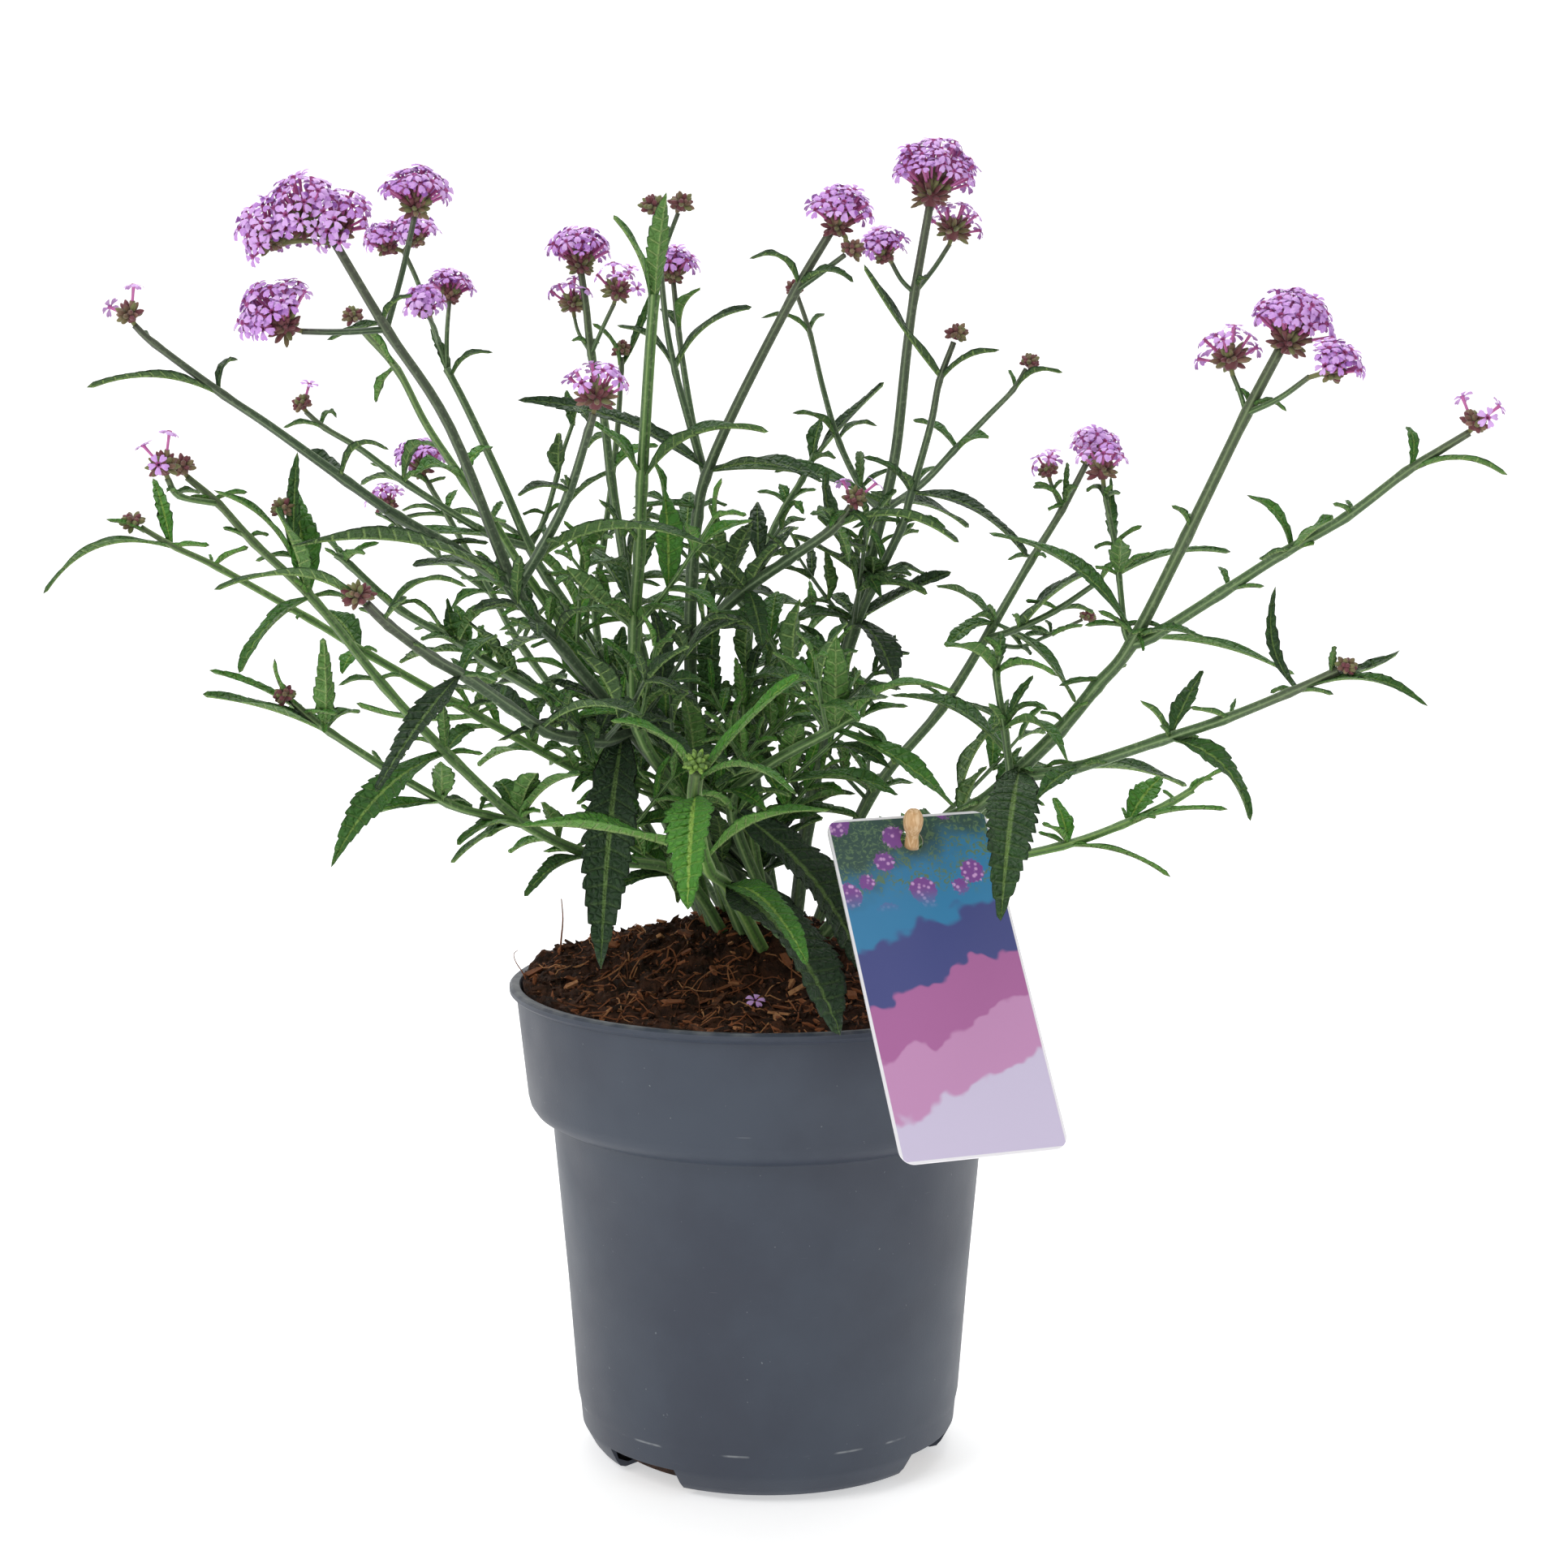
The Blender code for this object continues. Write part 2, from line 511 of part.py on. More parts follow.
def make_soil(collection):
    """Fills the pot's inside, with a mound on top."""
    form = bmesh.new()
    sides = SOIL_SIDES

    def ring(radius, height):
        made = []
        for i in range(sides):
            turn = 2 * math.pi * i / sides
            x = radius * math.cos(turn)
            y = radius * math.sin(turn)
            z = soil_height(x, y) if height is None else height
            made.append(form.verts.new(vector((x, y, z))))
        return made

    def fan(middle, rim, upward):
        for i in range(sides):
            pair = (rim[i], rim[(i + 1) % sides])
            if not upward:
                pair = pair[::-1]
            form.faces.new((middle, *pair))

    top = form.verts.new(vector((0, 0, soil_height(0, 0))))
    loops = [ring(radius, None) for radius in SOIL_RINGS]
    loops += [ring(radius, height) for radius, height in SOIL_WALL]
    bottom = form.verts.new(vector((0, 0, SOIL_WALL[-1][1])))
    fan(top, loops[0], True)
    for upper, lower in zip(loops, loops[1:]):
        for i in range(sides):
            j = (i + 1) % sides
            form.faces.new((upper[i], lower[i], lower[j], upper[j]))
    fan(bottom, loops[-1], False)
    bmesh.ops.triangulate(form, faces=form.faces)
    mesh = bpy.data.meshes.new("soil")
    form.to_mesh(mesh)
    form.free()
    return add_object("soil", mesh, collection)


def make_label(collection):
    """A thin printed card with round corners and a hole, hung on the pick and turned a little."""
    half_width = LABEL_WIDTH / 2
    bottom = LABEL_HOLE_INSET - LABEL_LENGTH
    corners = [(-half_width, bottom), (half_width, bottom), (half_width, LABEL_HOLE_INSET),
               (-half_width, LABEL_HOLE_INSET)]
    outline = []
    inward = [(1, 1), (-1, 1), (-1, -1), (1, -1)]
    starts = (180, 270, 0, 90)
    for (x, y), (right, up), start in zip(corners, inward, starts):
        for step in range(3):
            turn = math.radians(start + 45 * step)
            outline.append((x + LABEL_CORNER * (right + math.cos(turn)),
                            y + LABEL_CORNER * (up + math.sin(turn))))
    hole = []
    for step in range(PICK_SIDES):
        turn = 2 * math.pi * step / PICK_SIDES
        hole.append((LABEL_HOLE_RADIUS * math.cos(turn), LABEL_HOLE_RADIUS * math.sin(turn)))
    curve = bpy.data.curves.new("label", "CURVE")
    curve.dimensions = "2D"
    curve.fill_mode = "BOTH"
    curve.extrude = LABEL_THICKNESS / 2 * MM
    for points in (outline, hole):
        spline = curve.splines.new("POLY")
        spline.points.add(len(points) - 1)
        for point, (x, y) in zip(spline.points, points):
            point.co = (x * MM, y * MM, 0, 1)
        spline.use_cyclic_u = True
    label = add_object("label", curve, collection)
    lean = Matrix.Rotation(math.radians(90 - LABEL_LEAN), 4, "X")
    swing = Matrix.Rotation(math.radians(LABEL_SWING), 4, "Y")
    turn = Matrix.Rotation(math.radians(LABEL_TURN), 4, "Y")
    label.matrix_world = Matrix.Translation(vector(LABEL_HOLE_PLACE)) @ swing @ lean @ turn
    return make_mesh(label, collection)


def make_pick(collection):
    """The turned pick: a tee-shaped head, a neck and a shaft that ends in a point in the soil."""
    axis = Vector(PICK_TOP) - Vector(PICK_FOOT)
    length = axis.length
    profile = [(0, 0)] + PICK_PROFILE + [(2.5, PICK_POINT_LENGTH - length), (0, -length)]
    pick = turned("label_pick", profile, PICK_SIDES, collection)
    turn = axis.to_track_quat("Z", "Y").to_matrix().to_4x4()
    pick.matrix_world = Matrix.Translation(vector(PICK_TOP)) @ turn
    return pick


def stalk(name, path, girths, collection, extra=0.0):
    """A four-sided stalk along a route, thinning from foot to tip."""
    curve = bpy.data.curves.new(name, "CURVE")
    curve.dimensions = "3D"
    curve.bevel_depth = MM
    curve.bevel_resolution = 0
    curve.use_fill_caps = True
    spline = curve.splines.new("POLY")
    spline.points.add(len(path) - 1)
    for i, (point, place) in enumerate(zip(spline.points, path)):
        along = i / (len(path) - 1)
        girth = girths[0] + (girths[1] - girths[0]) * along
        point.co = (*vector(place), 1)
        point.radius = girth / 2 * STALK_CORNER + extra
    return make_mesh(add_object(name, curve, collection), collection)


def blade_axes(reach, roll):
    """A blade's directions: along it, out of its face and across it."""
    along = Vector(reach).normalized()
    upward = Vector((0, -0.15, 1))
    face = (upward - along * upward.dot(along)).normalized()
    turned_face = Matrix.Rotation(math.radians(roll), 3, along) @ face
    return along, face, turned_face, along.cross(turned_face)


def blade_line(base, leaf, face, t):
    """The place of the midrib at a share of the blade's length."""
    return Vector(base) + Vector(leaf.reach) * t + face * (leaf.arch * 4 * t * (1 - t))


def blade_roll(number):
    return BLADE_ROLL * math.sin(number * 2.4)


def blade_form(form, base, leaf, number):
    """A toothed blade, folded along its midrib, thick at the rib and thin at its edges."""
    length = Vector(leaf.reach).length
    along, lift, face, across = blade_axes(leaf.reach, blade_roll(number))
    if leaf.width > WIDE_BLADE:
        stations, teeth = 3, 4 if length > LONG_BLADE else 3
    elif length > LONG_BLADE:
        stations, teeth = 3, 3
    elif length > MIDDLE_BLADE:
        stations, teeth = 2, 2
    else:
        stations, teeth = 2, 0

    def half_width(t):
        return max(BLADE_ROOT_WIDTH, 0.5 * leaf.width * math.sin(math.pi * t ** 0.75) ** 0.8)

    ribs = [i / stations for i in range(stations)]
    edge = [(0, BLADE_ROOT_WIDTH)]
    if teeth == 0:
        edge.append((0.42, half_width(0.42)))
    for i in range(teeth):
        t = 0.3 + 0.6 * i / teeth
        edge.append((t, half_width(t)))
        if i < teeth - 1:
            edge.append((t + 0.12 / teeth, half_width(t) * 0.8))
    top = []
    bottom = []
    for t in ribs:
        place = blade_line(base, leaf, lift, t)
        if t > 0:
            top.append(form.verts.new(vector(place + face * BLADE_HALF_THICKNESS)))
        bottom.append(form.verts.new(vector(place - face * BLADE_HALF_THICKNESS)))
    tip = form.verts.new(vector(blade_line(base, leaf, lift, 1)))
    sides = []
    for side in (1, -1):
        row = []
        for t, reach in edge:
            wave = BLADE_WAVE * leaf.width * math.sin(9 * t + number + side)
            rise = BLADE_FOLD * reach + wave if t > 0 else BLADE_HALF_THICKNESS
            place = blade_line(base, leaf, lift, t) + across * (side * reach) + face * rise
            row.append(form.verts.new(vector(place)))
        sides.append(row)
    edge_t = [t for t, _ in edge]
    for side, row in zip((1, -1), sides):
        for rib, rib_t, facing in ((top, ribs[1:], 1), (bottom, ribs, -1)):
            strip(form, rib + [tip], rib_t + [1], row + [tip], edge_t + [1], side * facing > 0)
    form.faces.new((top[0], sides[1][0], sides[0][0]))
    form.faces.new((bottom[0], sides[0][0], sides[1][0]))


def strip(form, first, first_t, second, second_t, flip):
    """Joins two rows of points that share their last one with triangles."""
    i = 0
    j = 0
    while i < len(first) - 1 or j < len(second) - 1:
        step_first = j == len(second) - 1
        if not step_first and i < len(first) - 1:
            step_first = first_t[i + 1] <= second_t[j + 1]
        if step_first and second[j] is first[i + 1]:
            break
        if step_first:
            corner = (first[i], first[i + 1], second[j])
            i += 1
        else:
            corner = (first[i], second[j + 1], second[j])
            j += 1
        if corner[1] in (corner[0], corner[2]):
            continue
        form.faces.new(corner if flip else corner[::-1])


def form_object(name, form, collection):
    bmesh.ops.recalc_face_normals(form, faces=form.faces)
    mesh = bpy.data.meshes.new(name)
    form.to_mesh(mesh)
    form.free()
    return add_object(name, mesh, collection)


def blade(name, base, leaf, number, collection):
    form = bmesh.new()
    blade_form(form, base, leaf, number)
    return form_object(name, form, collection)


def blade_room(base, leaf, number, stations=((0.1, 0.5), (0.3, 1), (0.6, 0.95), (1.02, 0.15))):
    """The room that a blade takes, a little larger than the blade: corners and triangles."""
    lift, face, across = blade_axes(leaf.reach, blade_roll(number))[1:]
    corners = []
    half = 0.5 * leaf.width + BLADE_CLEARANCE
    for t, share in stations:
        place = blade_line(base, leaf, lift, t)
        side = across * (half * share)
        rise = face * (BLADE_FOLD * half * share)
        corners += [place + side + rise, place + face * (1.2 + BLADE_WAVE * leaf.width),
                    place - side + rise, place - face * (0.9 + BLADE_WAVE * leaf.width)]
    return room_of(corners, 4)


OUTER_STATIONS = ((0.45, 1), (0.7, 0.9), (1.02, 0.15))


def room_of(corners, sides):
    """A closed tube of triangles through rows of corners."""
    faces = []
    rows = len(corners) // sides
    for row in range(rows - 1):
        for i in range(sides):
            j = (i + 1) % sides
            a, b = row * sides + i, row * sides + j
            c, d = a + sides, b + sides
            faces += [(a, b, d), (a, d, c)]
    for start in (0, (rows - 1) * sides):
        faces += [(start, start + i, start + i + 1) for i in range(1, sides - 1)]
    return corners, faces


def stalk_room(path, girths):
    """The room that a stalk takes, a little larger than the stalk."""
    corners = []
    for i, place in enumerate(path):
        place = Vector(place)
        before = Vector(path[max(0, i - 1)])
        after = Vector(path[min(len(path) - 1, i + 1)])
        along = (after - before).normalized()
        side = along.cross(Vector((0.3, 1, 0.1))).normalized()
        other = along.cross(side)
        girth = girths[0] + (girths[1] - girths[0]) * i / (len(path) - 1)
        reach = girth / 2 * STALK_CORNER + BLADE_CLEARANCE
        for turn in range(4):
            angle = math.pi / 2 * turn
            corners.append(place + (side * math.cos(angle) + other * math.sin(angle)) * reach * 1.2)
    return room_of(corners, 4)


class Rooms:
    """The rooms taken so far, each with its shoot, for bending a leaf clear of the others.

    A leaf keeps its whole length clear of other shoots and its outer half clear of its own shoot's
    leaves.
    """

    def __init__(self):
        self.taken = []

    def box(self, corners):
        low = [min(corner[i] for corner in corners) for i in range(3)]
        high = [max(corner[i] for corner in corners) for i in range(3)]
        return low, high

    def take(self, owner, room, outer=None):
        shapes = []
        for corners, faces in (room, outer or room):
            low, high = self.box(corners)
            shapes.append((low, high, BVHTree.FromPolygons(corners, faces)))
        self.taken.append((owner, outer is not None, shapes))

    def is_clear(self, owner, room, outer):
        shapes = []
        for corners, faces in (room, outer):
            low, high = self.box(corners)
            shapes.append((low, high, BVHTree.FromPolygons(corners, faces)))
        for other, is_leaf, other_shapes in self.taken:
            own = other == owner
            if own and not is_leaf:
                continue
            low, high, tree = shapes[own]
            other_low, other_high, other_tree = other_shapes[own]
            if any(low[i] > other_high[i] or high[i] < other_low[i] for i in range(3)):
                continue
            if tree.overlap(other_tree):
                return False
        return True


def bends():
    """The bends that a leaf may take, mildest first: its tip's move and its share of length."""
    choices = []
    for share in (1, 0.85, 0.7):
        for depth in range(-32, 33, 4):
            for height in (0, 5, -5, 10, -10):
                cost = abs(depth) + 1.6 * abs(height) + 70 * (1 - share)
                choices.append((cost, depth, height, share))
    return sorted(choices, key=lambda choice: choice[0])


def blade_root(stem, leaf):
    """Where a blade starts: inside the stalk, just above its knot."""
    girth = stem.girth[0] + (stem.girth[1] - stem.girth[0]) * leaf.knot / (len(stem.path) - 1)
    knot = Vector(stem.path[leaf.knot])
    last = leaf.knot == len(stem.path) - 1
    beside = Vector(stem.path[leaf.knot - 1 if last else leaf.knot + 1])
    above = (beside - knot).normalized() * girth
    return knot + above + Vector(leaf.reach).normalized() * (BLADE_ROOT_DEPTH * girth)


def settle(leaf, base, owner, number, rooms):
    """Bends a leaf until it is clear of its neighbours, or gives None where it has no room."""
    for _, depth, height, share in bends():
        reach = (Vector(leaf.reach) + Vector((0, depth, height))).normalized()
        reach = reach * (Vector(leaf.reach).length * share)
        bent = leaf._replace(reach=tuple(reach), width=leaf.width * (0.4 + 0.6 * share))
        room = blade_room(base, bent, number)
        outer = blade_room(base, bent, number, OUTER_STATIONS)
        if rooms.is_clear(owner, room, outer):
            rooms.take(owner, room, outer)
            return bent
    return None


def mesh_room(piece):
    """The room of a finished piece, in millimetres."""
    mesh = evaluated_mesh(piece)
    mesh.calc_loop_triangles()
    corners = [vert.co / MM for vert in mesh.vertices]
    faces = [tuple(triangle.vertices) for triangle in mesh.loop_triangles]
    bpy.data.meshes.remove(mesh)
    return corners, faces


def head_axis(stem):
    """The direction in which a stem's tip points."""
    return (Vector(stem.path[-1]) - Vector(stem.path[-2])).normalized()


def lobes(head):
    """A head's domes: each one's place from the seat, along the head's own axes, and its radius."""
    size = head.size
    if head.kind == "triple":
        return [((0.05, 0, 0.12), 0.62 * size), ((-0.5, -0.1, 0.02), 0.5 * size),
                ((0.5, 0.05, -0.06), 0.52 * size)]
    if head.kind == "double":
        return [((-0.42, 0, 0.0), 0.6 * size), ((0.42, 0, 0.06), 0.6 * size)]
    return [((0, 0, 0), size)]


def head_frame(stem):
    """A head's middle and its upright axes, in millimetres."""
    axis = head_axis(stem)
    upright = (axis + Vector((0, 0, 1.2))).normalized()
    side = Vector((1, 0, 0))
    side = (side - upright * side.dot(upright)).normalized()
    return axis, upright, side, upright.cross(side)


def core_form(form, seat, axis, width, height, bumps=0):
    """The closed core of a head: it widens from its seat and is round on top."""
    rings = ((0.2, 0.42), (0.52, 0.95), (0.82, 0.75))
    side = axis.orthogonal().normalized()
    other = axis.cross(side)
    sides = 5
    rows = []
    for k, (up, out) in enumerate(rings):
        row = []
        for i in range(sides):
            turn = 2 * math.pi * (i + 0.5 * (k % 2)) / sides
            bump = 1 + bumps * (1 if (i + k) % 2 else -1)
            place = seat + axis * (up * height)
            place = place + (side * math.cos(turn) + other * math.sin(turn)) * (out * width * bump)
            row.append(form.verts.new(vector(place)))
        rows.append(row)
    foot = form.verts.new(vector(seat))
    top = form.verts.new(vector(seat + axis * height))
    for i in range(sides):
        j = (i + 1) % sides
        form.faces.new((foot, rows[0][j], rows[0][i]))
        form.faces.new((top, rows[-1][i], rows[-1][j]))
    for k, (lower, upper) in enumerate(zip(rows, rows[1:])):
        for i in range(sides):
            j = (i + 1) % sides
            if k % 2 == 0:
                form.faces.new((lower[i], lower[j], upper[i]))
                form.faces.new((lower[j], upper[j], upper[i]))
            else:
                form.faces.new((lower[i], upper[j], upper[i]))
                form.faces.new((lower[i], lower[j], upper[j]))


def floret_form(form, root, place, radius, turn):
    """A five-petalled floret: a star of petals on a tube that is rooted in the head's core."""
    axis = (place - root).normalized()
    side = axis.orthogonal().normalized()
    side = Matrix.Rotation(turn, 3, axis) @ side
    other = axis.cross(side)
    ring = []
    for i in range(10):
        angle = math.pi * i / 5
        reach = radius if i % 2 == 0 else radius * 0.6
        droop = 0 if i % 2 == 0 else 0.1 * radius
        spot = place + (side * math.cos(angle) + other * math.sin(angle)) * reach + axis * droop
        ring.append(form.verts.new(vector(spot)))
    eye = form.verts.new(vector(place - axis * (0.12 * radius)))
    throat = []
    for i in range(3):
        angle = 2 * math.pi * i / 3 + math.pi / 5
        spot = place - axis * (0.45 * radius)
        spot = spot + (side * math.cos(angle) + other * math.sin(angle)) * FLORET_TUBE
        throat.append(form.verts.new(vector(spot)))
    end = form.verts.new(vector(root))
    for i in range(10):
        form.faces.new((eye, ring[i], ring[(i + 1) % 10]))
    nearest = [0, 0, 0, 1, 1, 1, 1, 2, 2, 2]
    for i in range(10):
        j = (i + 1) % 10
        form.faces.new((throat[nearest[i]], ring[j], ring[i]))
        if nearest[i] != nearest[j]:
            form.faces.new((throat[nearest[i]], throat[nearest[j]], ring[j]))
    for i in range(3):
        form.faces.new((end, throat[(i + 1) % 3], throat[i]))


def dome_directions(count, steepest):
    """Evenly spread directions over a dome, as (along the axis, turn) pairs, by a golden spiral."""
    low = math.cos(math.radians(steepest))
    spread = []
    for i in range(count):
        rise = 1 - (1 - low) * (i + 0.5) / count
        spread.append((rise, i * 2.39996))
    return spread


CORE_FOOT_SHARE = 0.25
CORE_WIDTH_SHARE = 0.56
HEAD_SPREAD = {"full": 98, "triple": 98, "double": 98, "cup": 66, "bud": 80}


def make_head(name, stem, collection):
    """A flower head: a core seated on the stem's tip and florets that stand out of it."""
    head = stem.head
    axis, upright, side, other = head_frame(stem)
    seat = Vector(stem.path[-1]) + axis * SEAT_GAP
    pieces = []
    domes = lobes(head)
    whole = sum(radius ** 2 for _, radius in domes)
    for number, (offset, radius) in enumerate(domes):
        count = max(1, round(head.florets * radius ** 2 / whole))
        slim = head.kind in ("cup", "bud")
        height = radius * (1.7 if slim else 1.12)
        shift = (side * offset[0] + other * offset[1] + upright * offset[2]) * head.size
        shift = shift + Vector((*head.lean, 0))
        core_axis = (axis + shift / height).normalized()
        core_foot = seat if number == 0 else seat + shift * CORE_FOOT_SHARE
        form = bmesh.new()
        core_form(form, core_foot, core_axis, radius * CORE_WIDTH_SHARE, height)
        pieces.append(form_object(name, form, collection))
        middle = seat + shift + upright * (height * (0.5 if slim else 0.42))
        spread = dome_directions(count, HEAD_SPREAD[head.kind])
        floret = min(6.4, 1.22 * radius / math.sqrt(count))
        if slim:
            floret = 4.6
        for i, (rise, turn) in enumerate(spread):
            out = math.sqrt(max(0, 1 - rise * rise))
            toward = side * (out * math.cos(turn)) + other * (out * math.sin(turn)) + upright * rise
            reach = radius * (1.0 if not slim else 1.25)
            if head.kind == "bud":
                reach = radius + 3.5
            place = middle + toward * reach - upright * (0.22 * reach * rise if not slim else 0)
            form = bmesh.new()
            floret_form(form, middle - upright * (0.1 * radius), place, floret, turn * 1.7)
            pieces.append(form_object(name, form, collection))
    return fuse(pieces, collection)


def head_room(stem):
    """The room that a head takes."""
    head = stem.head
    upright = head_frame(stem)[1]
    seat = Vector(stem.path[-1]) + Vector((*head.lean, 0)) * 0.7
    grow = {"cup": 1.5, "bud": 2.2}.get(head.kind, 1.12)
    reach = head.size * grow
    corners = []
    for up, out in ((0.0, 0.2), (0.25, 0.95), (0.7, 1.0), (1.15, 0.75), (1.35, 0.3)):
        for i in range(8):
            turn = math.pi / 4 * i
            spread = Vector((math.cos(turn), math.sin(turn), 0)) * (reach * out)
            corners.append(seat + upright * (reach * up) + spread)
    return room_of(corners, 8)


def bud_head(name, stem, collection):
    """A closed head of buds on a stem's tip, part of the stem's own solid."""
    axis = head_axis(stem)
    size = stem.head.size
    form = bmesh.new()
    core_form(form, Vector(stem.path[-1]) - axis * 1.0, axis, size, 1.9 * size, 0.12)
    return form_object(name, form, collection)


def is_open(head):
    return head is not None and head.kind != "buds"


def make_plants(collection, fixed):
    """All shoots and heads. The leaves bend clear of everything that is placed before them."""
    rooms = Rooms()
    for piece in fixed:
        rooms.take(piece.name, mesh_room(piece))
    for stem in STEMS:
        rooms.take(stem.plant, stalk_room(stem.path, stem.girth))
        if is_open(stem.head):
            rooms.take("head", head_room(stem))
    order = []
    number = 0
    for stem in STEMS:
        for leaf in stem.leaves:
            order.append((Vector(leaf.reach).length * leaf.width, number, stem, leaf))
            number += 1
    settled = {}
    for _, number, stem, leaf in sorted(order, key=lambda entry: (-entry[0], entry[1])):
        settled[number] = settle(leaf, blade_root(stem, leaf), stem.plant, number, rooms)
    shoots = {}
    number = 0
    for stem in STEMS:
        pieces = shoots.setdefault(stem.plant, [])
        name = "shoot_" + stem.plant
        pieces.append(stalk(name, stem.path, stem.girth, collection))
        if stem.head is not None and stem.head.kind == "buds":
            pieces.append(bud_head(name, stem, collection))
        for leaf in stem.leaves:
            bent = settled[number]
            if bent is not None:
                pieces.append(blade(name, blade_root(stem, leaf), bent, number, collection))
            number += 1
    for plant, pieces in shoots.items():
        shoot = fuse(pieces, collection)
        shoot.name = "shoot_" + plant
    heads = {}
    for stem in STEMS:
        if is_open(stem.head):
            heads[stem.plant] = heads.get(stem.plant, 0) + 1
            make_head(f"head_{stem.plant}_{heads[stem.plant]}", stem, collection)


def cut_stem_holes(soil, cutters):
    """Each shoot's foot stands in its own hole in the soil, and so does the pick."""
    for stem in STEMS:
        if stem.path[0][2] > SOIL_FOOT_HEIGHT:
            continue
        start = Vector(stem.path[0])
        lower = start + (start - Vector(stem.path[1])).normalized() * STEM_HOLE_DEPTH
        path = [tuple(lower)] + list(stem.path[1:3])
        hide_cutter(stalk("stem_hole_cutter", path, stem.girth, cutters, STEM_HOLE_CLEARANCE))
    foot = Vector(PICK_FOOT)
    up = (Vector(PICK_TOP) - foot).normalized()
    path = [tuple(foot - up), tuple(foot + up * PICK_HOLE_TOP)]
    hide_cutter(stalk("pick_hole_cutter", path, (PICK_HOLE_GIRTH, PICK_HOLE_GIRTH), cutters,
                      PICK_HOLE_CLEARANCE))
    cut(soil, cutters)


def main():
    clear_scene()
    collection = make_collection("potted_verbena")
    slot_cutters = make_collection("drain_slot_cutters")
    hole_cutters = make_collection("stem_hole_cutters")
    pot = make_pot(collection, slot_cutters)
    soil = make_soil(collection)
    cut_stem_holes(soil, hole_cutters)
    label = make_label(collection)
    pick = make_pick(collection)
    bpy.context.view_layer.update()
    make_plants(collection, [pot, soil, label, pick])
    colours = {"pot": (0.055, 0.065, 0.09), "soil": (0.035, 0.018, 0.012), "label": (0.22, 0.16, 0.42),
               "label_pick": (0.62, 0.4, 0.2)}
    for piece in collection.objects:
        if piece.name in colours:
            colour = colours[piece.name]
        elif piece.name.startswith("head_"):
            colour = (0.45, 0.24, 0.58)
        else:
            colour = (0.09, 0.2, 0.05)
        piece.data.materials.clear()
        piece.data.materials.append(make_material(piece.name, colour, 0.6))


main()
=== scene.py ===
"""The looks of the potted verbena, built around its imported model.

Lengths are in millimetres until a mesh is made. The leaves are settled by the same rule as in the
part's source, so that each fine leaf lies where the plain one is.
"""

import math
import random
from collections import namedtuple
from itertools import combinations

import bpy
import numpy as np
from mathutils import Matrix, Vector, noise
from mathutils.bvhtree import BVHTree


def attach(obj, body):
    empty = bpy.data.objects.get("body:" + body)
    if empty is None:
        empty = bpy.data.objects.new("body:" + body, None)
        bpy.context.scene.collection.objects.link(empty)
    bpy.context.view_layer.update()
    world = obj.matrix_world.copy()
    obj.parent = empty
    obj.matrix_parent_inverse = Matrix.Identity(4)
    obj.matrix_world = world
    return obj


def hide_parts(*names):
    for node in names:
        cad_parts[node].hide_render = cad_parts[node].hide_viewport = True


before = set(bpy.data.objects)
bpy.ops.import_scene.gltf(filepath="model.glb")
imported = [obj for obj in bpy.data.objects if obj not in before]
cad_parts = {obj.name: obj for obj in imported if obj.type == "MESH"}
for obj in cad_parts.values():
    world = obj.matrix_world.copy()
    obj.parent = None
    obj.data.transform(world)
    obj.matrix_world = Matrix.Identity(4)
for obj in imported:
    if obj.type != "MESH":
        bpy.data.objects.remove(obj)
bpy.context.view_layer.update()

MM = 0.001

# The camera, fitted to the pot's rim, collar and foot in the photograph of 1932 by 1932
CAMERA_PLACE = (0.006, -1.05, 0.389)
CAMERA_DROP = 0.1337
FOCAL_PIXELS = 3560
PHOTO_PIXELS = 1932
SENSOR_WIDTH = 36

# The pot, as (radius, height) down the outside and up the inside
POT_SIDES = 144
POT_WELD = 0.02
POT_SHARP_ANGLE = 38
POT_OUTSIDE = [(91.6, 175), (94.2, 175.2), (95.2, 174.4), (95.2, 172.9), (94.2, 172.0), (92.7, 171.2),
               (88.7, 134), (88.0, 131.2), (86.3, 128.6), (83.4, 127.0), (80.6, 125.6), (79.7, 122.6),
               (74.6, 64), (71.4, 21), (70.7, 17.6), (70.5, 16.8), (69.8, 9.5), (68.8, 7.6), (66.4, 3.2),
               (64.6, 1.0), (62, 0.0)]
POT_INSIDE = [(61, 1.6), (65.6, 4.0), (67.4, 9), (78, 122.5), (79.4, 126.0), (83.2, 128.0),
              (85.1, 130.6), (90.4, 171.0), (91.0, 174.4)]
DRAIN_ANGLES = (-134, -42, 62, 152)
DRAIN_WIDTH = 32
DRAIN_HEIGHT = 9
DRAIN_INNER_RADIUS = 53
DRAIN_OUTER_RADIUS = 75
DRAIN_CORNER = 3

# The soil, a low mound with its wall against the pot, as (radius, height)
SOIL_EDGE_HEIGHT = 171.5
SOIL_CROWN_HEIGHT = 198
SOIL_CROWN_SPREAD = 42
SOIL_LUMP = 2.6
SOIL_TOP_RADIUS = 90.4
SOIL_RINGS = 84
SOIL_SIDES = 200
SOIL_TILT = 1.5
HEAP_HEIGHT = 10
HEAP_PLACE = (-50, 22)
HEAP_SPREAD = (38, 42)
SOIL_WALL = [(89.8, 169), (83.9, 131.5), (76.9, 123.5), (66, 10), (59, 2.2)]

